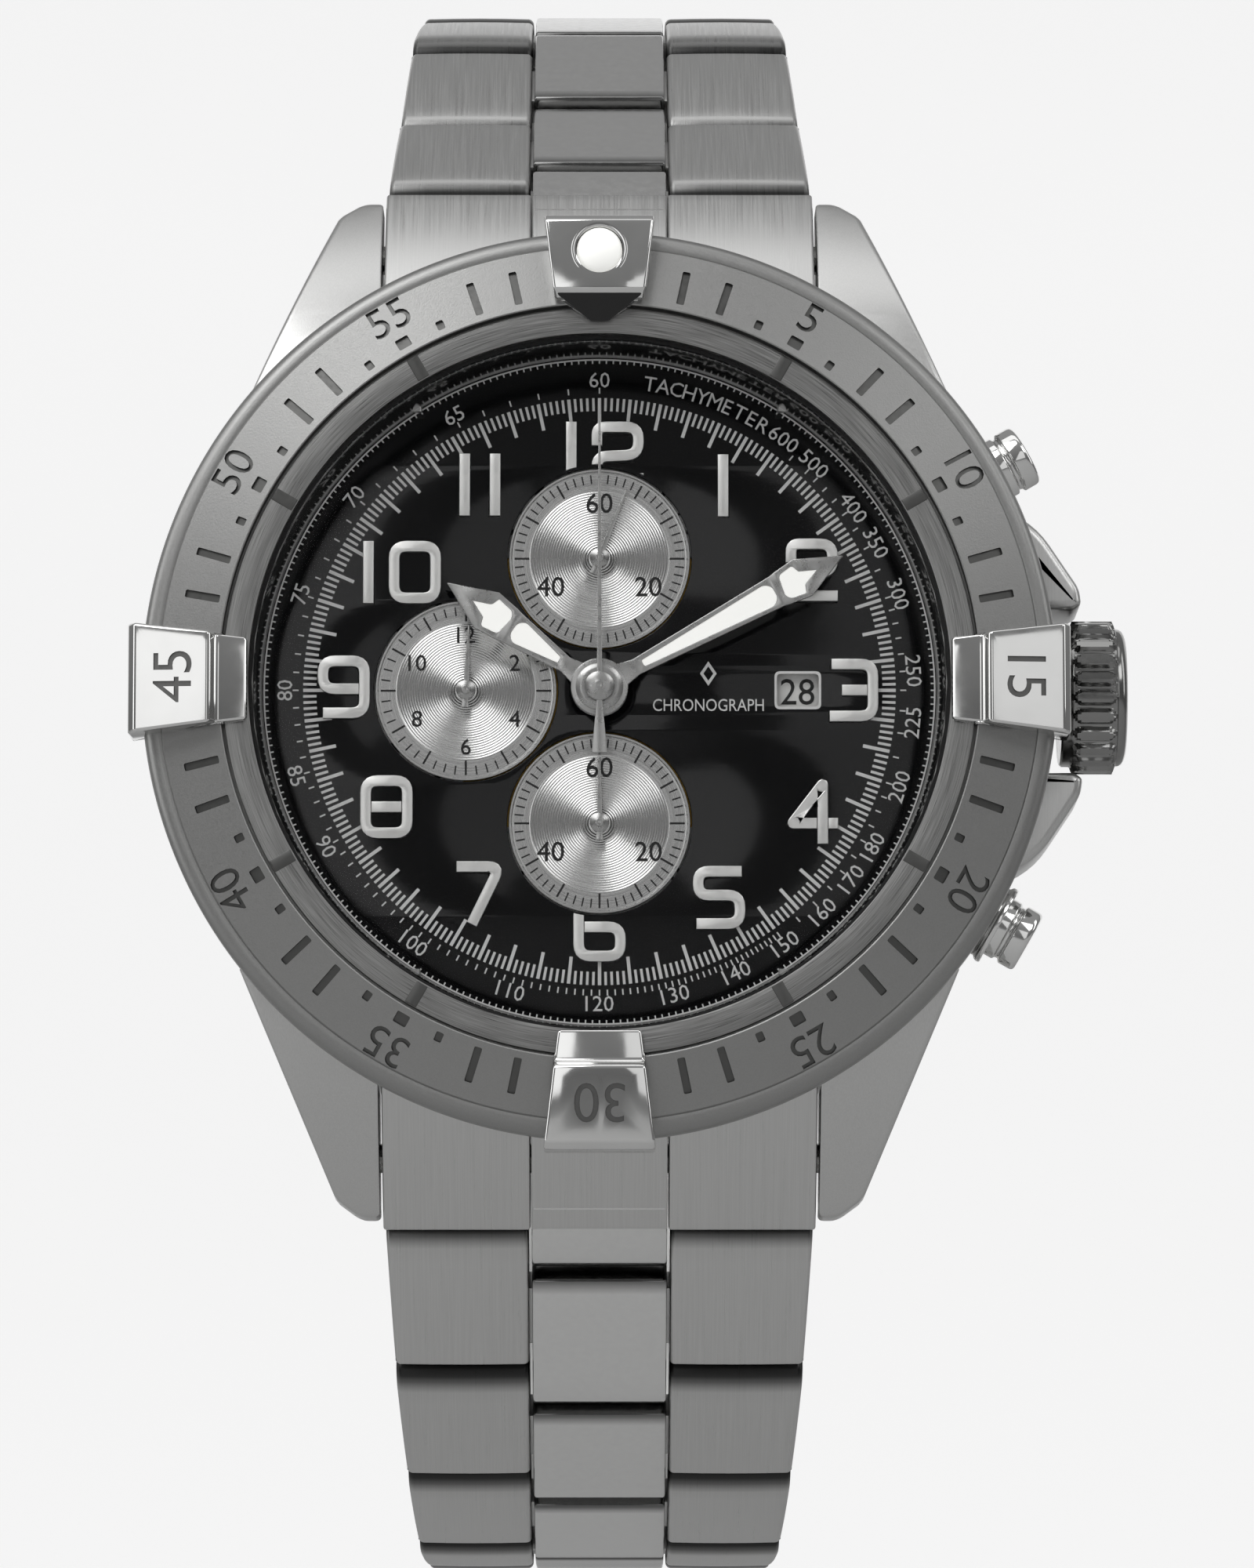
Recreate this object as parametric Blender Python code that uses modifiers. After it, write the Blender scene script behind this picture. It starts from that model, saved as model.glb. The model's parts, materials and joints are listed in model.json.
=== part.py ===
"""Chronograph wristwatch on a closed three-row steel bracelet.

The watch head is modelled in its own frame, which the empty "watch_head" turns upright:
local X runs to 3 o'clock, local Y to 12 o'clock and local Z from the case back to the dial.
Upright, the dial faces -Y and 12 o'clock is up. The origin is the middle of the case back.
"""

import math

import bmesh
import bpy
from mathutils import Matrix

MM = 0.001

# Case
CASE_RADIUS = 22.2 * MM
CASE_BOTTOM = 1.2 * MM
CASE_TOP = 8.6 * MM
NECK_RADIUS = CASE_RADIUS - 3.7 * MM
NECK_TOP = CASE_TOP + 2.6 * MM
MOVEMENT_BORE = CASE_RADIUS - 5.7 * MM
DIAL_BORE = CASE_RADIUS - 4.4 * MM
DIAL_SEAT = CASE_TOP - 1.1 * MM
CROWN_HEIGHT = 5.2 * MM

# Running and fixed clearances
FIT = 0.1 * MM
BORE_CLEARANCE = 0.15 * MM
LUG_CLEARANCE = 0.15 * MM
ROW_CLEARANCE = 0.15 * MM
RIDER_CLEARANCE = 0.1 * MM
GUARD_CLEARANCE = 0.25 * MM
LINK_GAP = 0.3 * MM
FOLD_CLEARANCE = 0.3 * MM

# Lugs and crown guards
STRAP_WIDTH = 22.0 * MM
LUG_WALL_REACH = CASE_RADIUS - 2.6 * MM
LUG_WALL_BOTTOM = 0.9 * MM
LUG_REACH = CASE_RADIUS + 4.0 * MM
LUG_TIP_WIDTH = 1.0 * MM
LUG_TIP_BOTTOM = -0.8 * MM
LUG_SHOULDER = (STRAP_WIDTH / 2 + 2.4 * MM, CASE_RADIUS + 3.1 * MM)
LUG_CURVE_START = CASE_RADIUS - 9.2 * MM
LUG_CURVE_STEPS = 7
GUARD_REACH = CASE_RADIUS + 2.2 * MM
GUARD_ROOT = CASE_RADIUS - 2.7 * MM
GUARD_HALF_HEIGHT = 2.8 * MM
# Guard outline after its root: (back from its reach, out from its side by the crown)
GUARD_CORNERS = [
    (0.4 * MM, 0.0),
    (0.0, 0.3 * MM),
    (0.1 * MM, 1.1 * MM),
    (2.3 * MM, 4.4 * MM),
]
GUARD_FOOT = 5.6 * MM

# Bracelet
CENTRE_WIDTH = 6.9 * MM
LINK_PITCH = 9.2 * MM
LINK_HALF_THICKNESS = 1.45 * MM
LINK_BAR_HALF_HEIGHT = 0.7 * MM
LINK_BAR_DEPTH = 1.0 * MM
LINK_BAR_REACH = 1.5 * MM
LINK_NARROWING = (0.3, 1.1, 2.0, 2.8, 3.4, 3.8, 4.0, 4.0, 4.0)
LINK_WIDTHS = [STRAP_WIDTH - narrowing * MM for narrowing in LINK_NARROWING]
LINK_ANGLES_12 = [57.0, 52.5, 71.5, 88.0, 106.0, 125.0, 144.0, 162.0]
LINK_ANGLES_6 = [43.5, 60.0, 72.0, 88.0, 105.0, 124.0, 143.0, 162.0]
END_LINK_EDGE = (CASE_RADIUS + 4.67 * MM, 1.4 * MM)
END_LINK_STEPS = 6
NOSE_LENGTH = 3.6 * MM
SPRING_BAR_RADIUS = 0.75 * MM
SPRING_BAR_REACH = STRAP_WIDTH / 2 + 0.9 * MM
SPRING_BAR_PLACE = (CASE_RADIUS + 1.0 * MM, 2.1 * MM)

# Case back
BACK_RADIUS = MOVEMENT_BORE + 1.3 * MM
BACK_FLANGE = 0.9 * MM
BACK_SPIGOT_TOP = 2.4 * MM
BACK_CHAMFER = 0.4 * MM
BACK_NOTCHES = 6
BACK_NOTCH_DEPTH = 1.3 * MM
BACK_NOTCH_WIDTH = 2.4 * MM
GASKET_WIDTH = 0.8 * MM
GASKET_HEIGHT = 0.6 * MM

# Bezel
BEZEL_RADIUS = CASE_RADIUS + 0.8 * MM
BEZEL_BOTTOM = CASE_TOP + 0.2 * MM
BEZEL_BORE = NECK_RADIUS + BORE_CLEARANCE
BEZEL_SEAT = NECK_TOP + 0.05 * MM
BEZEL_LIP = 0.75 * MM
BEZEL_FOOT = 0.6 * MM
BEZEL_CREST = 0.05 * MM
BEZEL_SLOPE_INNER = (NECK_RADIUS + 0.6 * MM, NECK_TOP + 1.0 * MM)
BEZEL_SLOPE_OUTER = (BEZEL_RADIUS - BEZEL_LIP, NECK_TOP + 0.15 * MM)
INNER_RING_TOP = NECK_TOP + 0.7 * MM
INNER_RING_INNER = NECK_RADIUS - 0.9 * MM
INNER_RING_WIDTH = 1.3 * MM
RIDER_OUTER = BEZEL_RADIUS + 0.6 * MM
RIDER_HALF_ANGLE = math.radians(6.8)
RIDER_PLATEAU_TOP = NECK_TOP + 1.25 * MM
RIDER_FACE_TOP = NECK_TOP + 1.9 * MM
RIDER_FACE_END = NECK_TOP + 1.55 * MM
RIDER_BOTTOM = BEZEL_BOTTOM + 0.6 * MM
RIDER_STEP = (NECK_RADIUS + 0.75 * MM, NECK_RADIUS + 1.1 * MM)
RIDER_EDGE = (0.3 * MM, 0.5 * MM)
PIP_RADIUS = 1.15 * MM
PIP_PLACE = BEZEL_RADIUS - 1.3 * MM
PIP_FLOOR = NECK_TOP + 1.0 * MM
PIP_TOP = NECK_TOP + 2.2 * MM
CLICK_SPRING_RADIUS = NECK_RADIUS + 1.9 * MM
CLICK_SPRING_WIDTH = 0.7 * MM
CLICK_SPRING_HEIGHT = 0.3 * MM

# Crystal and dial
CRYSTAL_RADIUS = DIAL_BORE - 0.45 * MM
CRYSTAL_BOTTOM = NECK_TOP - 0.45 * MM
CRYSTAL_TOP = NECK_TOP + 0.8 * MM
CRYSTAL_CHAMFER = 0.25 * MM
CRYSTAL_GASKET_TOP = NECK_TOP + 0.1 * MM
DIAL_BOTTOM = DIAL_SEAT + FIT
DIAL_TOP = DIAL_BOTTOM + 0.4 * MM
DIAL_RADIUS = DIAL_BORE - 0.65 * MM
DIAL_HOLE = 1.2 * MM
DIAL_RING_FOOT = DIAL_BORE - 0.8 * MM
DIAL_RING_LOW = DIAL_TOP + FIT
DIAL_RING_HIGH = CRYSTAL_BOTTOM - 0.15 * MM
SUBDIAL_OFFSET = 6.75 * MM
SUBDIAL_RADIUS = 4.58 * MM
SUBDIAL_CLEARANCE = 0.08 * MM
SUBDIAL_HOLE = 0.45 * MM
SUBDIAL_BOTTOM = DIAL_BOTTOM + 0.02 * MM
SUBDIAL_TOP = DIAL_TOP - 0.15 * MM
DATE_WINDOW_PLACE = 10.02 * MM
DATE_WINDOW_SIZE = (2.26 * MM, 1.8 * MM)
DATE_DISC_INNER = 8.3 * MM
DATE_DISC_OUTER = 12.1 * MM
DATE_DISC_BOTTOM = DIAL_BOTTOM - 0.4 * MM
DATE_DISC_TOP = DIAL_BOTTOM - 0.15 * MM

# Hands: length, tail, half width, underside and thickness
HOUR_HAND = (9.35 * MM, 1.5 * MM, 1.1 * MM, DIAL_TOP + 0.75 * MM, 0.2 * MM)
MINUTE_HAND = (13.96 * MM, 1.5 * MM, 1.05 * MM, DIAL_TOP + 1.2 * MM, 0.2 * MM)
CHRONO_HAND = (14.6 * MM, 3.4 * MM, 0.16 * MM, DIAL_TOP + 1.65 * MM, 0.15 * MM)
SUB_HAND = (3.75 * MM, 0.9 * MM, 0.16 * MM, DIAL_TOP + 0.25 * MM, 0.12 * MM)
SUB_HAND_SHORT = (3.3 * MM, 0.9 * MM, 0.16 * MM, DIAL_TOP + 0.25 * MM, 0.12 * MM)
ARROW_LENGTH = 2.2
ARROW_SHOULDER = (0.8, 1.4)
ARROW_WAIST = (0.45, 1.5)
CHRONO_HUB = 0.75 * MM
SUB_HUB = 0.5 * MM
NEEDLE_TAIL_WIDTH = 1.6
NEEDLE_TIP_WIDTH = 0.4
PIPE_PROUD = 0.12 * MM
ARBOR_BOTTOM = DIAL_BOTTOM - 1.0 * MM
HOUR_PIPE = (0.7 * MM, 1.0 * MM)
MINUTE_PIPE = (0.35 * MM, 0.6 * MM)
CHRONO_ARBOR = 0.25 * MM
HAND_ANGLES = {
    "hour_hand": 304.8,
    "minute_hand": 61.5,
    "chrono_hand": 0.0,
    "subhand_12": 21.7,
    "subhand_9": 2.7,
    "subhand_6": 0.0,
}

# Crown, stem and push buttons
CROWN_RADIUS = 3.9 * MM
CROWN_INNER = CASE_RADIUS + 1.7 * MM
CROWN_OUTER = CROWN_INNER + 2.8 * MM
CROWN_FLUTES = 24
CROWN_FLUTE_DEPTH = 0.3 * MM
CROWN_RIB = (0.3, 0.7)
CROWN_FLANGE = 0.55 * MM
CROWN_RIM = 0.1 * MM
CROWN_WALL = 1.0 * MM
CROWN_EDGE = (0.5 * MM, 0.4 * MM)
CROWN_BORE_END = CROWN_INNER + 1.4 * MM
STEM_RADIUS = 0.6 * MM
STEM_INNER = 9.0 * MM
STEM_OUTER = CROWN_BORE_END - 0.2 * MM
PUSHER_ANGLE = math.radians(30.0)
PUSHER_CAP_RADIUS = 1.62 * MM
PUSHER_CAP = (CASE_RADIUS + 0.7 * MM, CASE_RADIUS + 2.9 * MM)
PUSHER_EDGE = (0.35 * MM, 0.3 * MM)
PUSHER_ROD_RADIUS = 0.6 * MM
PUSHER_ROD_INNER = MOVEMENT_BORE + 0.7 * MM
PUSHER_TRAVEL = 1.0 * MM
COLLAR_RADIUS = PUSHER_CAP_RADIUS + 0.48 * MM
COLLAR_OUTER = CASE_RADIUS + 1.2 * MM
COLLAR_INNER = CASE_RADIUS - 3.2 * MM

# Movement: radius or radii, then underside and top
MOVEMENT_RING_INNER = MOVEMENT_BORE - 1.8 * MM
MOVEMENT_RING = (MOVEMENT_RING_INNER, MOVEMENT_BORE - 0.6 * MM, 2.6 * MM, DIAL_BOTTOM - 0.3 * MM)
MAIN_PLATE_TOP = DATE_DISC_BOTTOM - FIT
MAIN_PLATE = (MOVEMENT_RING_INNER - 0.2 * MM, MAIN_PLATE_TOP - 0.8 * MM, MAIN_PLATE_TOP)
TRAIN_BRIDGE_EDGE = 5.0 * MM
CIRCUIT_BOARD = (13.8 * MM, 2.7 * MM, 3.0 * MM)
BATTERY = (4.75 * MM, 2.7 * MM, 4.9 * MM)
BATTERY_PLACE = (-5.5 * MM, 6.0 * MM)
TRAIN_BRIDGE = (13.8 * MM, BATTERY[2] + 0.3 * MM, MAIN_PLATE[1] - 0.2 * MM)
COIL_RADIUS = 0.8 * MM
COIL_LENGTH = 9.0 * MM
COIL_PLACE = (-1.0 * MM, -9.0 * MM, 4.1 * MM)

# Clasp
CLASP_WIDTH = LINK_WIDTHS[-1]
CLASP_BEND_RADIUS = 70.0 * MM
COVER_PLATE = (0.9 * MM, 1.9 * MM)
COVER_WALL = 1.0 * MM
COVER_WALL_LOW = -1.5 * MM
COVER_END_GAP = 0.35 * MM
COVER_NECK = (-0.9 * MM, 1.2 * MM)
COVER_NOTCH = 0.6 * MM
BLADE_HALF_WIDTH = 4.5 * MM
BLADE_1 = (-0.4 * MM, 0.4 * MM)
BLADE_2 = (-1.5 * MM, -0.7 * MM)
BLADE_ROOT_STEP = 0.1 * MM
BLADE_NARROWING = 5.6 * MM
BLADE_END_OVERLAP = 0.3 * MM
KNUCKLE_RADIUS = 0.65 * MM
KNUCKLE_HALF_WIDTH = 2.0 * MM
KNUCKLE_GAP = 0.3 * MM
STRAP_KNUCKLE_RADIUS = 1.3 * MM
STRAP_KNUCKLE_HALF_WIDTH = 3.3 * MM
HINGE_A_PLACE = (4.6 * MM, -0.55 * MM)
HINGE_B_FROM_END = 4.2 * MM
HINGE_B_HEIGHT = 0.1 * MM
STRIP_STEP = 4.0 * MM
BUTTON_FROM_END = 9.5 * MM
BUTTON_LENGTH = 5.0 * MM
BUTTON_HEIGHT = 1.6 * MM
BUTTON_PROUD = 0.6 * MM
BUTTON_DEPTH = 1.0 * MM

# Facets of round pieces
RING_STEPS = 48
DISC_STEPS = 32
PIN_STEPS = 12
ARC_STEPS = 4
MERGE = 0.00001
OVERCUT = 1.0 * MM

PARTS = "chronograph_wristwatch"
CUTTERS = "cutters"


# ---------------------------------------------------------------- scene, materials, placing


def clear_scene():
    """Remove every object and start with the two empty collections."""
    for obj in list(bpy.data.objects):
        bpy.data.objects.remove(obj, do_unlink=True)
    for name in (PARTS, CUTTERS):
        collection = bpy.data.collections.new(name)
        bpy.context.scene.collection.children.link(collection)


def finish_material(name, colour, roughness, metallic):
    """One Principled material."""
    material = bpy.data.materials.new(name)
    material.use_nodes = True
    shader = material.node_tree.nodes["Principled BSDF"]
    shader.inputs["Base Color"].default_value = (*colour, 1.0)
    shader.inputs["Roughness"].default_value = roughness
    shader.inputs["Metallic"].default_value = metallic
    return material


FINISHES = {
    "satin_steel": ((0.56, 0.56, 0.57), 0.35, 1.0),
    "polished_steel": ((0.66, 0.66, 0.67), 0.12, 1.0),
    "blasted_steel": ((0.42, 0.42, 0.43), 0.45, 1.0),
    "black_lacquer": ((0.012, 0.012, 0.013), 0.3, 0.0),
    "silver_dial": ((0.6, 0.6, 0.6), 0.3, 1.0),
    "lume": ((0.9, 0.9, 0.88), 0.5, 0.0),
    "white_print": ((0.85, 0.85, 0.85), 0.5, 0.0),
    "sapphire": ((0.95, 0.97, 1.0), 0.02, 0.0),
    "black_rubber": ((0.02, 0.02, 0.02), 0.7, 0.0),
    "brass": ((0.72, 0.55, 0.28), 0.3, 1.0),
    "copper": ((0.7, 0.36, 0.2), 0.35, 1.0),
    "green_board": ((0.03, 0.16, 0.07), 0.5, 0.0),
    "spring_steel": ((0.45, 0.45, 0.47), 0.3, 1.0),
    "white_plastic": ((0.8, 0.8, 0.78), 0.5, 0.0),
}


def add_object(name, mesh, parent, finish=None):
    """Put a mesh into the parts' collection, or into the cutters' when it has no finish."""
    obj = bpy.data.objects.new(name, mesh)
    obj.parent = parent
    if finish is None:
        bpy.data.collections[CUTTERS].objects.link(obj)
        obj.hide_render = True
        obj.display_type = "WIRE"
        return obj
    bpy.data.collections[PARTS].objects.link(obj)
    mesh.materials.append(finish_material(name, *FINISHES[finish]))
    return obj


def add_empty(name, parent, location=(0, 0, 0), rotation=(0, 0, 0)):
    """An empty that carries other pieces."""
    empty = bpy.data.objects.new(name, None)
    bpy.data.collections[PARTS].objects.link(empty)
    empty.parent = parent
    empty.location = location
    empty.rotation_euler = rotation
    return empty


def boolean(obj, other, operation):
    """Join, cut or keep what a piece shares with another object, through a live modifier."""
    modifier = obj.modifiers.new(operation.lower(), "BOOLEAN")
    modifier.operation = operation
    modifier.solver = "MANIFOLD"
    modifier.object = other


def cut(obj, other):
    """Take the other object's shape away from a piece."""
    boolean(obj, other, "DIFFERENCE")


def join(obj, other):
    """Add the other object's shape to a piece."""
    boolean(obj, other, "UNION")


# ---------------------------------------------------------------- shapes


def arc_points(centre, radius, start, end, steps):
    """Points along an arc, both ends included, angles in degrees."""
    points = []
    for step in range(steps + 1):
        angle = math.radians(start + (end - start) * step / steps)
        points.append((centre[0] + radius * math.cos(angle), centre[1] + radius * math.sin(angle)))
    return points


def circle_points(radius, steps, centre=(0.0, 0.0)):
    """A closed circle's points."""
    return arc_points(centre, radius, 0.0, 360.0 * (steps - 1) / steps, steps - 1)


def plate_mesh(name, outlines, low, high):
    """A flat plate between two heights from closed outlines, inner outlines being holes."""
    curve = bpy.data.curves.new(name, "CURVE")
    curve.dimensions = "2D"
    curve.fill_mode = "BOTH"
    curve.extrude = (high - low) / 2
    for outline in outlines:
        spline = curve.splines.new("POLY")
        spline.points.add(len(outline) - 1)
        for point, place in zip(spline.points, outline):
            point.co = (place[0], place[1], 0.0, 1.0)
        spline.use_cyclic_u = True
    holder = bpy.data.objects.new(name, curve)
    bpy.context.scene.collection.objects.link(holder)
    evaluated = holder.evaluated_get(bpy.context.evaluated_depsgraph_get())
    mesh = bpy.data.meshes.new_from_object(evaluated)
    bpy.data.objects.remove(holder)
    bpy.data.curves.remove(curve)
    mesh.name = name
    shape = bmesh.new()
    shape.from_mesh(mesh)
    bmesh.ops.remove_doubles(shape, verts=shape.verts, dist=MERGE / 10)
    bmesh.ops.translate(shape, verts=shape.verts, vec=(0.0, 0.0, (low + high) / 2))
    bmesh.ops.recalc_face_normals(shape, faces=shape.faces)
    shape.to_mesh(mesh)
    shape.free()
    return mesh


ACROSS = Matrix(((0, 0, 1, 0), (1, 0, 0, 0), (0, 1, 0, 0), (0, 0, 0, 1)))


def prism_mesh(name, outline, low, high):
    """A side outline, given as (Y, Z) points, carried along X from low to high."""
    mesh = plate_mesh(name, [outline], low, high)
    mesh.transform(ACROSS)
    return mesh


def turned_mesh(name, profile, closed):
    """A half profile of (radius, height) points for a Screw modifier round Z."""
    mesh = bpy.data.meshes.new(name)
    edges = [(i, i + 1) for i in range(len(profile) - 1)]
    if closed:
        edges.append((len(profile) - 1, 0))
    mesh.from_pydata([(radius, 0.0, height) for radius, height in profile], edges, [])
    return mesh


def turned(name, profile, steps, parent, finish=None):
    """A turned piece. The profile runs down its outer side; one that ends on the axis is open."""
    on_axis = profile[0][0] == 0.0 and profile[-1][0] == 0.0
    obj = add_object(name, turned_mesh(name, profile, not on_axis), parent, finish)
    screw = obj.modifiers.new("turn", "SCREW")
    screw.axis = "Z"
    screw.steps = steps
    screw.render_steps = steps
    screw.use_merge_vertices = True
    screw.merge_threshold = MERGE
    screw.use_smooth_shade = True
    return obj


def ring(name, inner, outer, low, high, steps, parent, finish=None):
    """A flat ring with square edges."""
    profile = [(inner, high), (outer, high), (outer, low), (inner, low)]
    return turned(name, profile, steps, parent, finish)


def disc(name, radius, low, high, steps, parent, finish=None):
    """A flat round disc or pin."""
    profile = [(0.0, high), (radius, high), (radius, low), (0.0, low)]
    return turned(name, profile, steps, parent, finish)


def block_mesh(name, low, high):
    """A box between two corners."""
    shape = bmesh.new()
    size = [b - a for a, b in zip(low, high)]
    middle = [(a + b) / 2 for a, b in zip(low, high)]
    place = Matrix.Translation(middle) @ Matrix.Diagonal((*size, 1.0))
    bmesh.ops.create_cube(shape, size=1.0, matrix=place)
    mesh = bpy.data.meshes.new(name)
    shape.to_mesh(mesh)
    shape.free()
    return mesh


def cross_pin(name, radius, reach, place, parent):
    """A round cutter or pin along X through a (Y, Z) place."""
    outline = circle_points(radius, PIN_STEPS, place)
    return add_object(name, prism_mesh(name, outline, -reach, reach), parent)


# ---------------------------------------------------------------- bracelet geometry

LUG_CURVE = (CASE_TOP - END_LINK_EDGE[1]) / (END_LINK_EDGE[0] - LUG_CURVE_START) ** 2


def lug_height(reach):
    """Height of the lugs' and end links' top, which falls off as a parabola."""
    return CASE_TOP - LUG_CURVE * max(0.0, reach - LUG_CURVE_START) ** 2


def edge_slope():
    """Angle of the top surface at the end link's outer edge."""
    return math.atan(2 * LUG_CURVE * (END_LINK_EDGE[0] - LUG_CURVE_START))


def first_hinge():
    """The (reach, height) place of the first link's pin, under the end link's edge."""
    slope = edge_slope()
    along = LINK_HALF_THICKNESS + LINK_GAP
    reach = END_LINK_EDGE[0] + along * math.cos(slope) - LINK_HALF_THICKNESS * math.sin(slope)
    height = END_LINK_EDGE[1] - along * math.sin(slope) - LINK_HALF_THICKNESS * math.cos(slope)
    return reach, height


def chain_end(angles):
    """The (reach, height) place of the pin at the end of a chain of links."""
    reach, height = first_hinge()
    for angle in angles:
        reach += LINK_PITCH * math.cos(math.radians(angle))
        height -= LINK_PITCH * math.sin(math.radians(angle))
    return reach, height


def clasp_length_and_angle():
    """Straight distance between the two chains' last pins, and its angle seen from 12."""
    reach_12, height_12 = chain_end(LINK_ANGLES_12)
    reach_6, height_6 = chain_end(LINK_ANGLES_6)
    along = reach_12 + reach_6
    drop = height_12 - height_6
    return math.hypot(along, drop), 180.0 - math.degrees(math.atan2(drop, along))


def side_outline(start, end, start_round, end_round):
    """Side view of a link row: a bar whose ends are square or round about a pin."""
    half = LINK_HALF_THICKNESS
    if end_round:
        points = arc_points((end, 0.0), half, -90.0, 90.0, ARC_STEPS)
    else:
        points = [(end, -half), (end, half)]
    if start_round:
        points += arc_points((start, 0.0), half, 90.0, 270.0, ARC_STEPS)
    else:
        points += [(start, half), (start, -half)]
    return points


def taper(mesh, start_width, end_width):
    """Move the outer side of an outer row so that the link narrows along its length."""
    widest = max(vertex.co.x for vertex in mesh.vertices)
    for vertex in mesh.vertices:
        if vertex.co.x > widest - MERGE:
            share = vertex.co.y / LINK_PITCH
            vertex.co.x = (start_width + (end_width - start_width) * share) / 2


def outer_row_inner_side():
    """X of an outer row's side that faces the centre row."""
    return CENTRE_WIDTH / 2 + ROW_CLEARANCE


def link(name, index, parent, angle, last):
    """One bracelet link: two outer rows and a centre row set outwards, on a cross bar."""
    short = LINK_HALF_THICKNESS + LINK_GAP
    far = LINK_PITCH - short
    if last:
        outer = side_outline(0.0, LINK_PITCH, True, True)
        centre = side_outline(short, far - FOLD_CLEARANCE, False, False)
    else:
        outer = side_outline(0.0, far, True, False)
        centre = side_outline(short, LINK_PITCH, False, True)
    widths = LINK_WIDTHS[index], LINK_WIDTHS[index + 1]
    mesh = prism_mesh(name, outer, outer_row_inner_side(), widths[0] / 2)
    taper(mesh, *widths)
    obj = add_object(name, mesh, parent, "satin_steel")
    obj.location = (0.0, LINK_PITCH if index else 0.0, 0.0)
    obj.rotation_euler = (-math.radians(angle), 0.0, 0.0)
    mirror = obj.modifiers.new("other row", "MIRROR")
    mirror.merge_threshold = MERGE
    half = CENTRE_WIDTH / 2
    join(obj, add_object(name + "_centre", prism_mesh(name, centre, -half, half), obj))
    reach = half + LINK_BAR_REACH
    low = (-reach, short + LINK_BAR_DEPTH, -LINK_BAR_HALF_HEIGHT)
    high = (reach, far - LINK_BAR_DEPTH, LINK_BAR_HALF_HEIGHT)
    join(obj, add_object(name + "_bar", block_mesh(name, low, high), obj))
    return obj


def chain(side, angles, head, turn):
    """The links of one side of the bracelet, each carried by the one before."""
    reach, height = first_hinge()
    root = add_empty(f"bracelet_{side}", head, (0.0, 0.0, 0.0), (0.0, 0.0, turn))
    parent = add_empty(f"first_pin_{side}", root, (0.0, reach, height))
    before = 0.0
    for index, angle in enumerate(angles):
        last = index == len(angles) - 1
        parent = link(f"link_{side}_{index + 1}", index, parent, angle - before, last)
        before = angle
    return parent


def end_link(side, head, turn):
    """The solid end piece between the lugs, with a nose that holds the first link's pin."""
    root = add_empty(f"end_{side}", head, (0.0, 0.0, 0.0), (0.0, 0.0, turn))
    slope = edge_slope()
    inner = LUG_WALL_REACH + LINK_GAP
    span = END_LINK_EDGE[0] - inner
    steps = END_LINK_STEPS
    reaches = [inner + span * step / steps for step in range(steps + 1)]
    top = [(reach, lug_height(reach)) for reach in reaches]
    thickness = 2 * LINK_HALF_THICKNESS
    foot = (
        END_LINK_EDGE[0] - thickness * math.sin(slope),
        END_LINK_EDGE[1] - thickness * math.cos(slope),
    )
    outline = [(inner, CASE_BOTTOM)] + [foot] + top[::-1]
    half = STRAP_WIDTH / 2
    name = f"end_link_{side}"
    obj = add_object(name, prism_mesh(name, outline, -half, half), root, "satin_steel")
    hinge = first_hinge()
    nose = side_outline(-NOSE_LENGTH, 0.0, True, True)
    half = CENTRE_WIDTH / 2
    nose_obj = add_object(name + "_nose", prism_mesh(name, nose, -half, half), root)
    nose_obj.location = (0.0, *hinge)
    nose_obj.rotation_euler = (-slope, 0.0, 0.0)
    join(obj, nose_obj)
    bore = SPRING_BAR_RADIUS + BORE_CLEARANCE
    cut(obj, cross_pin(name + "_bore", bore, STRAP_WIDTH, SPRING_BAR_PLACE, root))
    name = f"spring_bar_{side}"
    outline = circle_points(SPRING_BAR_RADIUS, PIN_STEPS, SPRING_BAR_PLACE)
    mesh = prism_mesh(name, outline, -SPRING_BAR_REACH, SPRING_BAR_REACH)
    add_object(name, mesh, root, "spring_steel")


# ---------------------------------------------------------------- case


def quarter_outline():
    """Plan of the case from 3 o'clock to the middle of its 12 o'clock wall."""
    shoulder_angle = math.atan2(LUG_SHOULDER[1], LUG_SHOULDER[0])
    shoulder_distance = math.hypot(*LUG_SHOULDER)
    tangent = math.degrees(shoulder_angle - math.acos(CASE_RADIUS / shoulder_distance))
    side = STRAP_WIDTH / 2 + LUG_CLEARANCE
    points = arc_points((0.0, 0.0), CASE_RADIUS, 0.0, tangent, ARC_STEPS)
    points += [LUG_SHOULDER, (side + LUG_TIP_WIDTH, LUG_REACH), (side, LUG_REACH)]
    points.append((side, LUG_WALL_REACH))
    return points


def case_plan():
    """The whole case's plan: the quarter outline mirrored twice."""
    right = quarter_outline()
    left = [(-x, y) for x, y in reversed(right)]
    upper = right + left[:-1]
    lower = [(x, -y) for x, y in reversed(upper[1:])]
    lower.insert(0, left[-1])
    return upper + lower


def case_side():
    """Side view of the case with the lugs' curved tops and undersides."""
    span = LUG_REACH - LUG_CURVE_START
    steps = LUG_CURVE_STEPS
    reaches = [LUG_CURVE_START + span * step / steps for step in range(steps + 1)]
    top = [(reach, lug_height(reach)) for reach in reaches]
    end = LUG_REACH + OVERCUT
    top.append((end, lug_height(end)))
    bottom = [(BACK_RADIUS, CASE_BOTTOM), (LUG_WALL_REACH, LUG_WALL_BOTTOM), (end, LUG_TIP_BOTTOM)]
    half = bottom + top[::-1]
    return half + [(-reach, height) for reach, height in reversed(half)]


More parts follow.
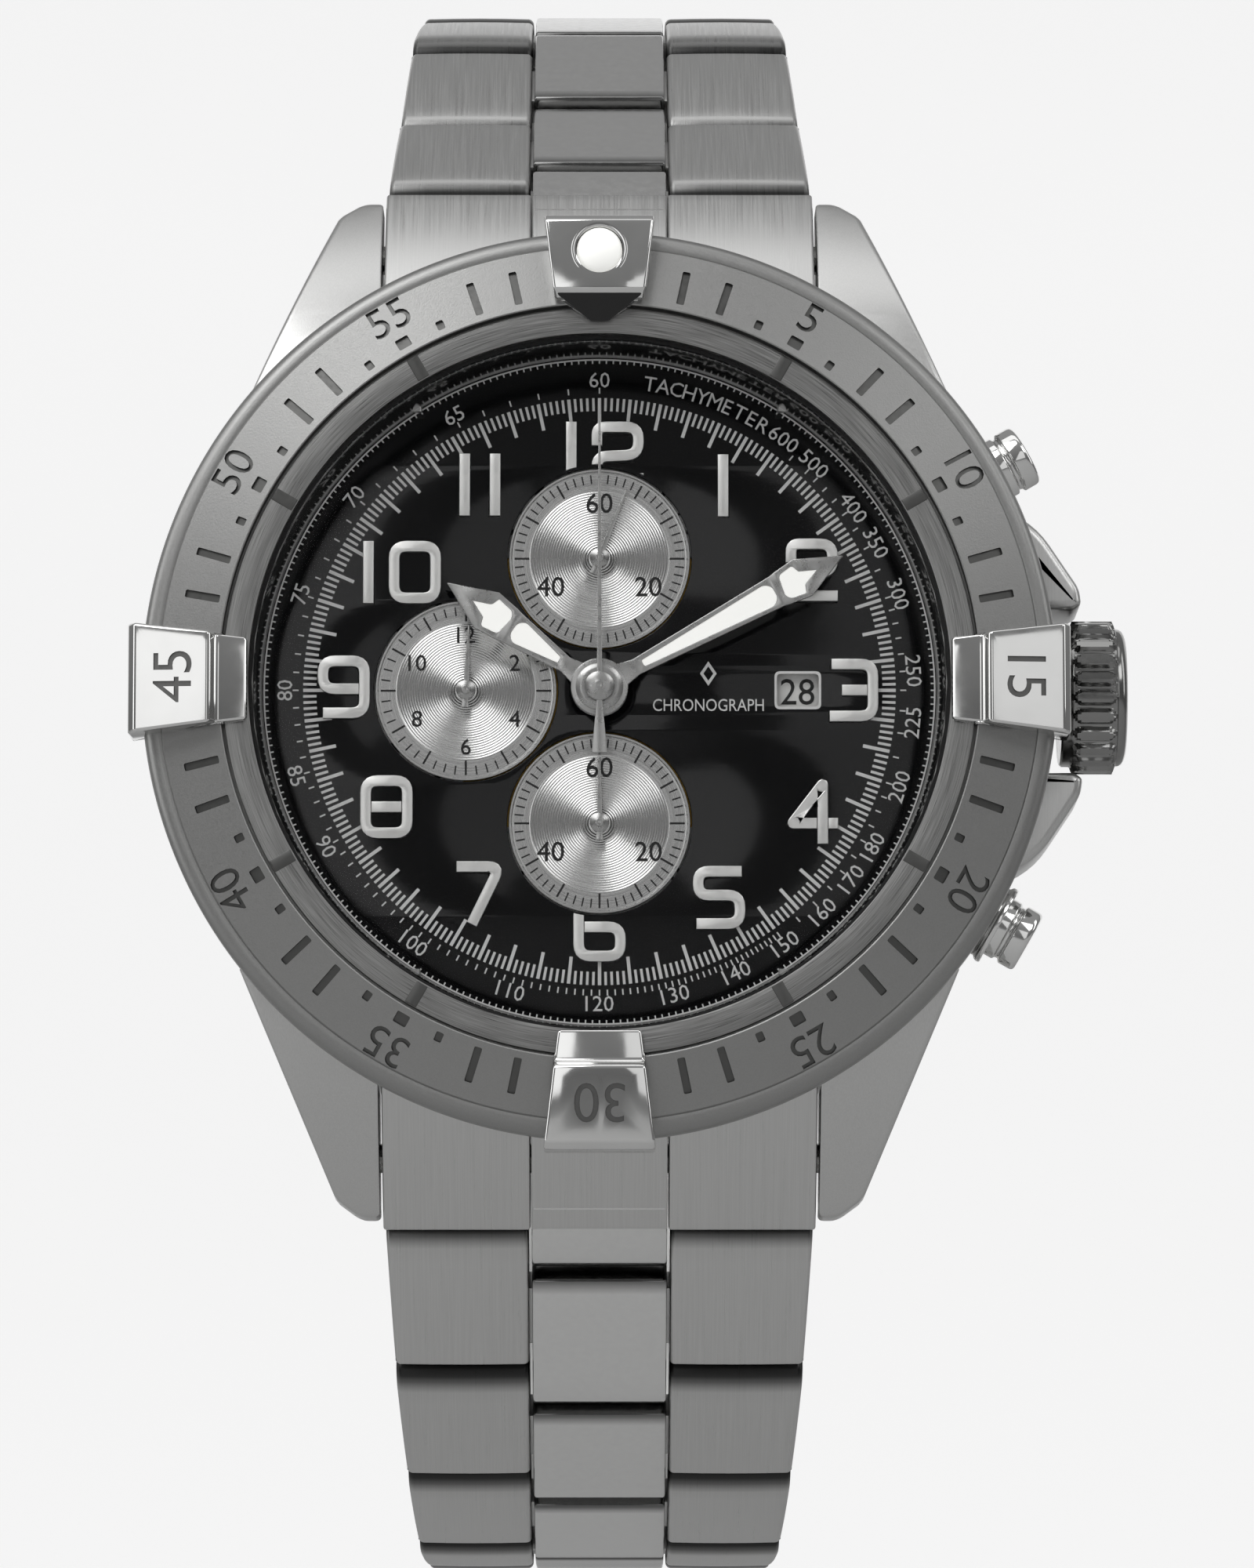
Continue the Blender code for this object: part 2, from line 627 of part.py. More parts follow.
def guard_outline(sign):
    """Plan of one crown guard, a wedge beside the crown."""
    inner = CROWN_RADIUS + GUARD_CLEARANCE
    points = [(GUARD_ROOT, inner)]
    points += [(GUARD_REACH - back, inner + out) for back, out in GUARD_CORNERS]
    points.append((GUARD_ROOT, inner + GUARD_FOOT))
    return [(x, y * sign) for x, y in points]


def radial(obj, angle):
    """Turn a piece so that its Z axis runs outwards from the case's middle at crown height."""
    obj.location = (0.0, 0.0, CROWN_HEIGHT)
    obj.rotation_euler = (0.0, math.pi / 2, angle)
    return obj


def case_bore_profile():
    """Half profile of the stepped bore through the case, from above the neck to below the lugs."""
    above = NECK_TOP + OVERCUT
    below = LUG_TIP_BOTTOM - 2 * OVERCUT
    groove = MOVEMENT_BORE + GASKET_WIDTH + 2 * LINK_GAP
    groove_top = CASE_BOTTOM + GASKET_HEIGHT + LINK_GAP
    return [
        (0.0, above),
        (DIAL_BORE, above),
        (DIAL_BORE, DIAL_SEAT),
        (MOVEMENT_BORE, DIAL_SEAT),
        (MOVEMENT_BORE, groove_top),
        (groove, groove_top),
        (groove, below),
        (0.0, below),
    ]


def pusher_bore_profile():
    """Half profile of a push button's pocket and of the bore for its rod."""
    pocket = PUSHER_CAP_RADIUS + BORE_CLEARANCE
    floor = PUSHER_CAP[0] - PUSHER_TRAVEL - 2 * BORE_CLEARANCE
    rod = PUSHER_ROD_RADIUS + BORE_CLEARANCE
    inside = MOVEMENT_RING[1]
    return [(0.0, CROWN_OUTER), (pocket, CROWN_OUTER), (pocket, floor), (rod, floor), (rod, inside),
            (0.0, inside)]


def case_middle(head):
    """The case body with lugs, crown guards, push-button collars and all its bores."""
    bottom, top = LUG_TIP_BOTTOM - OVERCUT, CASE_TOP + OVERCUT
    mesh = plate_mesh("case_middle", [case_plan()], bottom, top)
    case = add_object("case_middle", mesh, head, "satin_steel")
    reach = CASE_RADIUS + OVERCUT
    side = add_object("case_side", prism_mesh("case_side", case_side(), -reach, reach), head)
    boolean(case, side, "INTERSECT")
    join(case, disc("case_neck", NECK_RADIUS, CASE_TOP - OVERCUT, NECK_TOP, RING_STEPS, head))
    for sign, name in ((1, "guard_upper"), (-1, "guard_lower")):
        low, high = CROWN_HEIGHT - GUARD_HALF_HEIGHT, CROWN_HEIGHT + GUARD_HALF_HEIGHT
        join(case, add_object(name, plate_mesh(name, [guard_outline(sign)], low, high), head))
    for sign, name in ((1, "collar_2"), (-1, "collar_4")):
        collar = disc(name, COLLAR_RADIUS, COLLAR_INNER, COLLAR_OUTER, PIN_STEPS, head)
        join(case, radial(collar, sign * PUSHER_ANGLE))
    cut(case, turned("case_bore", case_bore_profile(), RING_STEPS, head))
    for sign, name in ((1, "pusher_bore_2"), (-1, "pusher_bore_4")):
        bore = turned(name, pusher_bore_profile(), PIN_STEPS, head)
        cut(case, radial(bore, sign * PUSHER_ANGLE))
    stem_bore = STEM_RADIUS + BORE_CLEARANCE
    bore = disc("stem_bore", stem_bore, MOVEMENT_RING[1], CROWN_OUTER, PIN_STEPS, head)
    cut(case, radial(bore, 0.0))
    inner = CLICK_SPRING_RADIUS - CLICK_SPRING_WIDTH / 2 - FIT
    outer = CLICK_SPRING_RADIUS + CLICK_SPRING_WIDTH / 2 + FIT
    floor = CASE_TOP - CLICK_SPRING_HEIGHT - FIT
    groove = ring("click_groove", inner, outer, floor, CASE_TOP + OVERCUT, RING_STEPS, head)
    cut(case, groove)
    bar_bore = SPRING_BAR_RADIUS + BORE_CLEARANCE
    bar_reach = SPRING_BAR_REACH + LINK_GAP
    for sign, name in ((1, "bar_bore_12"), (-1, "bar_bore_6")):
        place = (sign * SPRING_BAR_PLACE[0], SPRING_BAR_PLACE[1])
        cut(case, cross_pin(name, bar_bore, bar_reach, place, head))


def case_back(head):
    """Screwed case back with wrench notches, and its gasket."""
    profile = [
        (0.0, BACK_SPIGOT_TOP),
        (MOVEMENT_BORE - LINK_GAP, BACK_SPIGOT_TOP),
        (MOVEMENT_BORE - LINK_GAP, BACK_FLANGE),
        (BACK_RADIUS, BACK_FLANGE),
        (BACK_RADIUS, BACK_CHAMFER),
        (BACK_RADIUS - BACK_CHAMFER, 0.0),
        (0.0, 0.0),
    ]
    back = turned("case_back", profile, RING_STEPS, head, "satin_steel")
    for index in range(BACK_NOTCHES):
        low = (BACK_RADIUS - BACK_NOTCH_DEPTH, -BACK_NOTCH_WIDTH / 2, -OVERCUT)
        high = (BACK_RADIUS + OVERCUT, BACK_NOTCH_WIDTH / 2, BACK_FLANGE / 2)
        name = f"back_notch_{index + 1}"
        notch = add_object(name, block_mesh(name, low, high), head)
        notch.rotation_euler = (0.0, 0.0, 2 * math.pi * (index + 0.5) / BACK_NOTCHES)
        cut(back, notch)
    inner = MOVEMENT_BORE + LINK_GAP
    top = CASE_BOTTOM + GASKET_HEIGHT
    outer = inner + GASKET_WIDTH
    ring("case_back_gasket", inner, outer, CASE_BOTTOM, top, DISC_STEPS, head, "black_rubber")


# ---------------------------------------------------------------- bezel and crystal


def bezel_ring(head):
    """The turning bezel: a sloped face, a rounded lip and a seat for the brushed inner ring."""
    lip_centre = (BEZEL_SLOPE_OUTER[0], BEZEL_SLOPE_OUTER[1] - BEZEL_LIP)
    lip = arc_points(lip_centre, BEZEL_LIP, 70, 0, ARC_STEPS - 1)
    profile = [
        (BEZEL_SLOPE_INNER[0] - BEZEL_CREST, BEZEL_SLOPE_INNER[1]),
        BEZEL_SLOPE_INNER,
        BEZEL_SLOPE_OUTER,
        *lip,
        (BEZEL_RADIUS, BEZEL_BOTTOM + BEZEL_FOOT),
        (BEZEL_RADIUS - BEZEL_FOOT, BEZEL_BOTTOM),
        (BEZEL_BORE, BEZEL_BOTTOM),
        (BEZEL_BORE, BEZEL_SEAT),
        (BEZEL_SLOPE_INNER[0] - BEZEL_CREST, BEZEL_SEAT),
    ]
    turned("bezel_ring", profile, RING_STEPS, head, "blasted_steel")
    outer = INNER_RING_INNER + INNER_RING_WIDTH
    low = BEZEL_SEAT + FIT
    ring("bezel_inner_ring", INNER_RING_INNER, outer, low, INNER_RING_TOP, RING_STEPS, head,
         "satin_steel")
    inner = CLICK_SPRING_RADIUS - CLICK_SPRING_WIDTH / 2
    outer = CLICK_SPRING_RADIUS + CLICK_SPRING_WIDTH / 2
    low = CASE_TOP - CLICK_SPRING_HEIGHT
    high = CASE_TOP - FIT / 2
    ring("bezel_click_spring", inner, outer, low, high, RING_STEPS, head, "spring_steel")


def rider_outline():
    """Section of a rider as (radius, height): a step down to the inner ring, a hooked end."""
    gap = RIDER_CLEARANCE
    step_in, step_out = RIDER_STEP
    return [
        (INNER_RING_INNER, INNER_RING_TOP + gap),
        (BEZEL_SLOPE_INNER[0] - 2 * gap, INNER_RING_TOP + gap),
        (BEZEL_SLOPE_INNER[0] - 2 * gap, BEZEL_SLOPE_INNER[1] + gap),
        (BEZEL_SLOPE_INNER[0] + gap, BEZEL_SLOPE_INNER[1] + gap),
        (BEZEL_SLOPE_OUTER[0] + gap, BEZEL_SLOPE_OUTER[1] + gap),
        (BEZEL_RADIUS + gap, BEZEL_SLOPE_OUTER[1] - RIDER_EDGE[0]),
        (BEZEL_RADIUS + gap, RIDER_BOTTOM),
        (RIDER_OUTER, RIDER_BOTTOM),
        (RIDER_OUTER, RIDER_FACE_END - RIDER_EDGE[1]),
        (RIDER_OUTER - RIDER_EDGE[0], RIDER_FACE_END),
        (step_out, RIDER_FACE_TOP),
        (step_in, RIDER_PLATEAU_TOP),
        (INNER_RING_INNER, RIDER_PLATEAU_TOP),
    ]


def rider(name, angle, head):
    """One bezel rider. Its sides run radially, so it widens outwards."""
    mesh = prism_mesh(name, rider_outline(), -1.0 * MM, 1.0 * MM)
    for vertex in mesh.vertices:
        side = math.copysign(1.0, vertex.co.x)
        vertex.co.x = side * vertex.co.y * math.tan(RIDER_HALF_ANGLE)
    obj = add_object(name, mesh, head, "polished_steel")
    obj.rotation_euler = (0.0, 0.0, math.radians(angle))
    return obj


def riders(head):
    """Four riders, the one at 12 with a blind hole for the luminous pearl."""
    top = rider("bezel_rider_12", 0.0, head)
    rider("bezel_rider_9", 90.0, head)
    rider("bezel_rider_6", 180.0, head)
    rider("bezel_rider_3", 270.0, head)
    hole = disc("pip_hole", PIP_RADIUS + FIT, PIP_FLOOR, PIP_TOP + OVERCUT, PIN_STEPS, head)
    hole.location.y = PIP_PLACE
    cut(top, hole)
    dome = PIP_TOP - PIP_FLOOR - FIT
    profile = [(0.0, PIP_TOP), (PIP_RADIUS * 0.55, PIP_TOP - dome * 0.1)]
    profile += [(PIP_RADIUS * 0.9, PIP_TOP - dome * 0.32), (PIP_RADIUS, PIP_TOP - dome * 0.55)]
    profile += [(PIP_RADIUS, PIP_FLOOR + FIT), (0.0, PIP_FLOOR + FIT)]
    pip = turned("lume_pip", profile, PIN_STEPS, head, "lume")
    pip.location.y = PIP_PLACE


def crystal(head):
    """The flat crystal, its gasket and the polished ring round the dial."""
    profile = [
        (0.0, CRYSTAL_TOP),
        (CRYSTAL_RADIUS - CRYSTAL_CHAMFER, CRYSTAL_TOP),
        (CRYSTAL_RADIUS, CRYSTAL_TOP - CRYSTAL_CHAMFER),
        (CRYSTAL_RADIUS, CRYSTAL_BOTTOM),
        (0.0, CRYSTAL_BOTTOM),
    ]
    turned("crystal", profile, RING_STEPS, head, "sapphire")
    inner = CRYSTAL_RADIUS + FIT
    outer = DIAL_BORE - FIT
    ring("crystal_gasket", inner, outer, CRYSTAL_BOTTOM, CRYSTAL_GASKET_TOP, RING_STEPS, head,
         "black_rubber")
    profile = [
        (CRYSTAL_RADIUS + FIT / 2, DIAL_RING_HIGH),
        (DIAL_BORE - FIT, DIAL_RING_HIGH),
        (DIAL_BORE - FIT, DIAL_RING_LOW),
        (DIAL_RING_FOOT, DIAL_RING_LOW),
    ]
    turned("dial_ring", profile, RING_STEPS, head, "polished_steel")


# ---------------------------------------------------------------- dial and hands

SUBDIAL_PLACES = {
    "12": (0.0, SUBDIAL_OFFSET),
    "9": (-SUBDIAL_OFFSET, 0.0),
    "6": (0.0, -SUBDIAL_OFFSET),
}


def dial(head):
    """The dial plate with its holes, the three counter discs and the date disc."""
    outlines = [circle_points(DIAL_RADIUS, RING_STEPS), circle_points(DIAL_HOLE, PIN_STEPS)]
    for place in SUBDIAL_PLACES.values():
        outlines.append(circle_points(SUBDIAL_RADIUS + SUBDIAL_CLEARANCE, DISC_STEPS, place))
    half_x, half_y = DATE_WINDOW_SIZE[0] / 2, DATE_WINDOW_SIZE[1] / 2
    window = [(-half_x, -half_y), (half_x, -half_y), (half_x, half_y), (-half_x, half_y)]
    outlines.append([(x + DATE_WINDOW_PLACE, y) for x, y in window])
    add_object("dial", plate_mesh("dial", outlines, DIAL_BOTTOM, DIAL_TOP), head, "black_lacquer")
    for key, place in SUBDIAL_PLACES.items():
        name = f"subdial_{key}"
        counter = ring(name, SUBDIAL_HOLE, SUBDIAL_RADIUS, SUBDIAL_BOTTOM, SUBDIAL_TOP, DISC_STEPS,
                       head, "silver_dial")
        counter.location = (*place, 0.0)
    ring("date_disc", DATE_DISC_INNER, DATE_DISC_OUTER, DATE_DISC_BOTTOM, DATE_DISC_TOP, DISC_STEPS,
         head, "white_print")


def arrow_outline(length, tail, half):
    """Plan of an hour or minute hand pointing to 12: hub, waist, blade and arrow tip."""
    hub = arc_points((0.0, 0.0), tail, 60.0, -240.0, 12)
    shoulder = length - ARROW_LENGTH * half
    waist = (half * ARROW_WAIST[0], tail * ARROW_WAIST[1])
    neck = (half * ARROW_SHOULDER[0], shoulder - half * ARROW_SHOULDER[1])
    right = [waist, neck, (half, shoulder)]
    left = [(-x, y) for x, y in right]
    return hub + left + [(0.0, length)] + right[::-1]


def hand(name, size, outline, arbor, place, head, bore=0.0):
    """A hand: a thin plate joined to a pipe or arbor that goes down through the dial."""
    low = size[3]
    high = low + size[4]
    obj = add_object(name, plate_mesh(name, [outline], low, high), head, "polished_steel")
    obj.location = (*place, 0.0)
    obj.rotation_euler = (0.0, 0.0, -math.radians(HAND_ANGLES[name]))
    pipe = disc(name + "_pipe", arbor, ARBOR_BOTTOM, high + PIPE_PROUD, PIN_STEPS, head)
    pipe.location = (*place, 0.0)
    join(obj, pipe)
    if bore:
        hole = disc(name + "_bore", bore, ARBOR_BOTTOM - OVERCUT, high + OVERCUT, PIN_STEPS, head)
        hole.location = (*place, 0.0)
        cut(obj, hole)


def needle_outline(size, hub):
    """Plan of a thin tapered needle with a round hub and a short tail."""
    length, tail, half = size[0], size[1], size[2]
    points = arc_points((0.0, 0.0), hub, 70.0, -70.0, 4)
    wide, fine = NEEDLE_TAIL_WIDTH * half, NEEDLE_TIP_WIDTH * half
    points += [(wide, -tail), (-wide, -tail)]
    points += arc_points((0.0, 0.0), hub, 250.0, 110.0, 4)
    return points + [(-fine, length), (fine, length)]


def hands(head):
    """Hour, minute and chronograph hands on the middle, and the three small ones."""
    middle = (0.0, 0.0)
    outline = arrow_outline(*HOUR_HAND[:3])
    hand("hour_hand", HOUR_HAND, outline, HOUR_PIPE[1], middle, head, HOUR_PIPE[0])
    outline = arrow_outline(*MINUTE_HAND[:3])
    hand("minute_hand", MINUTE_HAND, outline, MINUTE_PIPE[1], middle, head, MINUTE_PIPE[0])
    outline = needle_outline(CHRONO_HAND, CHRONO_HUB)
    hand("chrono_hand", CHRONO_HAND, outline, CHRONO_ARBOR, middle, head)
    for key, place in SUBDIAL_PLACES.items():
        size = SUB_HAND if key == "12" else SUB_HAND_SHORT
        hand(f"subhand_{key}", size, needle_outline(size, SUB_HUB), CHRONO_ARBOR, place, head)


# ---------------------------------------------------------------- crown and push buttons


def crown_outline():
    """Plan of the fluted crown: straight-sided ribs round a circle."""
    points = []
    for index in range(CROWN_FLUTES):
        for share, depth in ((0.0, CROWN_FLUTE_DEPTH), (CROWN_RIB[0], 0.0), (CROWN_RIB[1], 0.0)):
            angle = 2 * math.pi * (index + share) / CROWN_FLUTES
            radius = CROWN_RADIUS - depth
            points.append((radius * math.cos(angle), radius * math.sin(angle)))
    return points


def crown_and_stem(head):
    """The crown, which covers the stem's end, and the stem into the movement."""
    flange = CROWN_FLANGE
    low, high = CROWN_INNER, CROWN_OUTER - flange
    core = CROWN_RADIUS - CROWN_FLUTE_DEPTH - CROWN_RIM
    outlines = [crown_outline(), circle_points(core - CROWN_WALL, PIN_STEPS)]
    mesh = plate_mesh("crown", outlines, low, high)
    crown = radial(add_object("crown", mesh, head, "polished_steel"), 0.0)
    bore = STEM_RADIUS + BORE_CLEARANCE
    profile = [
        (0.0, CROWN_OUTER),
        (core - CROWN_EDGE[0], CROWN_OUTER),
        (core, CROWN_OUTER - CROWN_EDGE[1]),
        (core, CROWN_INNER - flange),
        (bore, CROWN_INNER - flange),
        (bore, CROWN_BORE_END),
        (0.0, CROWN_BORE_END),
    ]
    join(crown, radial(turned("crown_core", profile, DISC_STEPS, head), 0.0))
    stem = disc("winding_stem", STEM_RADIUS, STEM_INNER, STEM_OUTER, PIN_STEPS, head, "spring_steel")
    radial(stem, 0.0)


def pusher(name, angle, head):
    """A chronograph push button: domed cap in its collar and a rod through the case wall."""
    radius = PUSHER_CAP_RADIUS
    profile = [
        (0.0, PUSHER_CAP[1]),
        (radius - PUSHER_EDGE[0], PUSHER_CAP[1]),
        (radius, PUSHER_CAP[1] - PUSHER_EDGE[1]),
        (radius, PUSHER_CAP[0]),
        (PUSHER_ROD_RADIUS, PUSHER_CAP[0]),
        (PUSHER_ROD_RADIUS, PUSHER_ROD_INNER),
        (0.0, PUSHER_ROD_INNER),
    ]
    radial(turned(name, profile, PIN_STEPS, head, "polished_steel"), angle)


# ---------------------------------------------------------------- movement


def half_disc(radius, edge):
    """Plan of a disc cut off straight at x = edge."""
    angle = math.degrees(math.acos(edge / radius))
    return arc_points((0.0, 0.0), radius, angle, 360.0 - angle, DISC_STEPS - 8)


def movement(head):
    """Movement ring, main plate, train bridge, circuit board, battery and motor coil."""
    inner, outer, low, high = MOVEMENT_RING
    holder = ring("movement_ring", inner, outer, low, high, DISC_STEPS, head, "white_plastic")
    hole = disc("ring_stem_hole", STEM_RADIUS + 2 * BORE_CLEARANCE, inner - OVERCUT, outer + OVERCUT,
                PIN_STEPS, head)
    cut(holder, radial(hole, 0.0))
    radius, low, high = MAIN_PLATE
    outlines = [circle_points(radius, DISC_STEPS), circle_points(DIAL_HOLE, PIN_STEPS)]
    for place in SUBDIAL_PLACES.values():
        outlines.append(circle_points(SUBDIAL_HOLE, PIN_STEPS, place))
    add_object("main_plate", plate_mesh("main_plate", outlines, low, high), head, "brass")
    radius, low, high = TRAIN_BRIDGE
    outline = half_disc(radius, TRAIN_BRIDGE_EDGE)
    add_object("train_bridge", plate_mesh("train_bridge", [outline], low, high), head, "brass")
    radius, low, high = CIRCUIT_BOARD
    clearance = circle_points(BATTERY[0] + 2 * BORE_CLEARANCE, DISC_STEPS, BATTERY_PLACE)
    outlines = [circle_points(radius, DISC_STEPS), clearance]
    add_object("circuit_board", plate_mesh("circuit_board", outlines, low, high), head, "green_board")
    battery = disc("battery", *BATTERY, DISC_STEPS, head, "spring_steel")
    battery.location = (*BATTERY_PLACE, 0.0)
    coil = disc("motor_coil", COIL_RADIUS, -COIL_LENGTH / 2, COIL_LENGTH / 2, PIN_STEPS, head, "copper")
    coil.location = COIL_PLACE
    coil.rotation_euler = (0.0, math.pi / 2, 0.0)


# ---------------------------------------------------------------- clasp


def bent(point, length):
    """Wrap a flat (along, out) place of the clasp round the wrist, its two pins staying put."""
    radius = CLASP_BEND_RADIUS
    half_angle = math.asin(length / 2 / radius)
    arc = 2 * radius * half_angle
    angle = (point[0] / length - 0.5) * arc / radius
    distance = radius + point[1]
    along = length / 2 + distance * math.sin(angle)
    return along, distance * math.cos(angle) - radius * math.cos(half_angle)


def strip(start, end, low, high):
    """Side outline of a long flat strip, with points along it so that it can bend."""
    count = max(1, round((end - start) / STRIP_STEP))
    reaches = [start + (end - start) * step / count for step in range(count + 1)]
    return [(reach, low) for reach in reaches] + [(reach, high) for reach in reversed(reaches)]


def clasp_solid(name, outline, low, high, length, origin, parent, finish=None):
    """A clasp part from its flat side outline, bent and moved so that its origin is its hinge."""
    places = [bent(point, length) for point in outline]
    places = [(along - origin[0], out - origin[1]) for along, out in places]
    return add_object(name, prism_mesh(name, places, low, high), parent, finish)


def knuckle(name, place, radius, low, high, origin, parent):
    """A round hinge barrel about an unflattened place."""
    outline = circle_points(radius, PIN_STEPS, (place[0] - origin[0], place[1] - origin[1]))
    return add_object(name, prism_mesh(name, outline, low, high), parent)


def clasp_cover(parent, length, angle):
    """The outer cover: a bent plate with side walls, notched over the hinge of blade 1."""
    origin = (0.0, 0.0)
    half = CLASP_WIDTH / 2
    low, high = COVER_PLATE
    start = LINK_HALF_THICKNESS + COVER_END_GAP
    hinge_b = length - HINGE_B_FROM_END
    end = length - HINGE_B_FROM_END / 2
    outline = strip(start, end, low, high)
    cover = clasp_solid("clasp_cover", outline, -half, half, length, origin, parent, "satin_steel")
    cover.location = (0.0, LINK_PITCH, 0.0)
    cover.rotation_euler = (-math.radians(angle), 0.0, 0.0)
    for sign, name in ((1, "cover_wall_right"), (-1, "cover_wall_left")):
        sides = sorted((sign * half, sign * (half - COVER_WALL)))
        outline = strip(start, end, COVER_WALL_LOW, high)
        join(cover, clasp_solid(name, outline, *sides, length, origin, cover))
    notch = BLADE_HALF_WIDTH + KNUCKLE_GAP
    outline = strip(hinge_b + COVER_NOTCH, length, low - OVERCUT, high + OVERCUT)
    cut(cover, clasp_solid("cover_notch", outline, -notch, notch, length, origin, cover))
    neck_end = start + COVER_NECK[1]
    neck = [(0.0, COVER_NECK[0]), (neck_end, 0.0), (neck_end, high), (start, high)]
    neck.append((0.0, STRAP_KNUCKLE_RADIUS))
    reach = STRAP_KNUCKLE_HALF_WIDTH
    join(cover, clasp_solid("cover_neck", neck, -reach, reach, length, origin, cover))
    name = "cover_end_knuckle"
    join(cover, knuckle(name, origin, STRAP_KNUCKLE_RADIUS, -reach, reach, origin, cover))
    place = bent((hinge_b, HINGE_B_HEIGHT), length)
    ear_top = place[1] + (low + high) / 2 - HINGE_B_HEIGHT
    inner = KNUCKLE_HALF_WIDTH + KNUCKLE_GAP
    outer = inner + KNUCKLE_HALF_WIDTH
    for sign, name in ((1, "cover_ear_right"), (-1, "cover_ear_left")):
        sides = sorted((sign * inner, sign * outer))
        ear = arc_points(place, KNUCKLE_RADIUS, 180.0, 360.0, ARC_STEPS)
        ear += [(place[0] + KNUCKLE_RADIUS, ear_top), (place[0] - KNUCKLE_RADIUS, ear_top)]
        join(cover, add_object(name, prism_mesh(name, ear, *sides), cover))
    button_place = length - BUTTON_FROM_END
    low_end = button_place - BUTTON_LENGTH / 2 - FIT
    high_end = button_place + BUTTON_LENGTH / 2 + FIT
    reach = BUTTON_HEIGHT / 2 + FIT
    outline = strip(low_end, high_end, -reach, reach)
    wide = half + OVERCUT
    cut(cover, clasp_solid("button_slot", outline, -wide, wide, length, origin, cover))
    return cover


def clasp_blades(cover, length):
    """The two folded blades: blade 1 hinges in the cover, blade 2 on blade 1."""
    hinge_b = bent((length - HINGE_B_FROM_END, HINGE_B_HEIGHT), length)
    hinge_a = bent(HINGE_A_PLACE, length)
    half = BLADE_HALF_WIDTH
    ends = KNUCKLE_RADIUS + KNUCKLE_GAP / 2
    outline = strip(HINGE_A_PLACE[0] + ends, length - HINGE_B_FROM_END - ends, *BLADE_1)
    name = "clasp_blade_1"
    blade_1 = clasp_solid(name, outline, -half, half, length, hinge_b, cover, "polished_steel")
    blade_1.location = (0.0, *hinge_b)
    width = KNUCKLE_HALF_WIDTH
    end = length - HINGE_B_FROM_END
    outline = strip(end - 2 * ends, end, *BLADE_1)
    join(blade_1, clasp_solid("blade_1_neck", outline, -width, width, length, hinge_b, blade_1))
    radius = KNUCKLE_RADIUS
    join(blade_1, knuckle("blade_1_knuckle", hinge_b, radius, -width, width, hinge_b, blade_1))
    inner = KNUCKLE_HALF_WIDTH + KNUCKLE_GAP
    start = HINGE_A_PLACE[0]
    for sign, side in ((1, "right"), (-1, "left")):
        sides = sorted((sign * inner, sign * half))
        outline = strip(start, start + 2 * ends, BLADE_1[0], BLADE_1[1] - BLADE_ROOT_STEP)
        name = f"blade_1_arm_{side}"
        join(blade_1, clasp_solid(name, outline, *sides, length, hinge_b, blade_1))
        join(blade_1, knuckle(f"blade_1_ear_{side}", hinge_a, radius, *sides, hinge_b, blade_1))
    outline = strip(start + ends, length - BLADE_END_OVERLAP, *BLADE_2)
    name = "clasp_blade_2"
    blade_2 = clasp_solid(name, outline, -half, half, length, hinge_a, blade_1, "polished_steel")
    blade_2.location = (0.0, hinge_a[0] - hinge_b[0], hinge_a[1] - hinge_b[1])
    reach = STRAP_KNUCKLE_HALF_WIDTH
    pin = bent((length, 0.0), length)
    for vertex in blade_2.data.vertices:
        if vertex.co.y > pin[0] - hinge_a[0] - BLADE_NARROWING:
            vertex.co.x = math.copysign(reach, vertex.co.x)
    radius_pin = STRAP_KNUCKLE_RADIUS
    join(blade_2, knuckle("blade_2_end", pin, radius_pin, -reach, reach, hinge_a, blade_2))
    outline = strip(start, start + 2 * ends, BLADE_2[0] + BLADE_ROOT_STEP, BLADE_2[1])
    join(blade_2, clasp_solid("blade_2_neck", outline, -width, width, length, hinge_a, blade_2))
    join(blade_2, knuckle("blade_2_knuckle", hinge_a, radius, -width, width, hinge_a, blade_2))


def clasp_buttons(cover, length):
    """Two push buttons in slots of the cover's side walls."""
    half = CLASP_WIDTH / 2
    middle = length - BUTTON_FROM_END
    outline = strip(middle - BUTTON_LENGTH / 2, middle + BUTTON_LENGTH / 2, -BUTTON_HEIGHT / 2,
                    BUTTON_HEIGHT / 2)
    inner = half - COVER_WALL - BUTTON_DEPTH
    outer = half + BUTTON_PROUD
    for sign, name in ((1, "clasp_button_right"), (-1, "clasp_button_left")):
        sides = sorted((sign * inner, sign * outer))
        clasp_solid(name, outline, *sides, length, (0.0, 0.0), cover, "polished_steel")


def main():
    """Build the whole watch."""
    clear_scene()
    head = add_empty("watch_head", None, rotation=(math.pi / 2, 0.0, 0.0))
    case_middle(head)
    case_back(head)
    bezel_ring(head)
    riders(head)
    crystal(head)
    dial(head)
    hands(head)
    crown_and_stem(head)
    pusher("pusher_2", PUSHER_ANGLE, head)
    pusher("pusher_4", -PUSHER_ANGLE, head)
    movement(head)
    end_link("12", head, 0.0)
    end_link("6", head, math.pi)
    last_12 = chain("12", LINK_ANGLES_12, head, 0.0)
    chain("6", LINK_ANGLES_6, head, math.pi)
    length, angle = clasp_length_and_angle()
    cover = clasp_cover(last_12, length, angle - LINK_ANGLES_12[-1])
    clasp_blades(cover, length)
    clasp_buttons(cover, length)


if __name__ == "__main__":
    main()
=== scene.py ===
"""Chronograph wristwatch: the visible watch built round its packed frame.

The head's own places are (x, y, z) in millimetres: x to 3 o'clock, y to 12 o'clock and z from the
case back to the dial. Upright, that place is (x, -z, y) in the frame.
"""

import json
import math

import bmesh
import bpy
import numpy as np
from bpy.props import FloatProperty, FloatVectorProperty, PointerProperty
from mathutils import Matrix, Vector

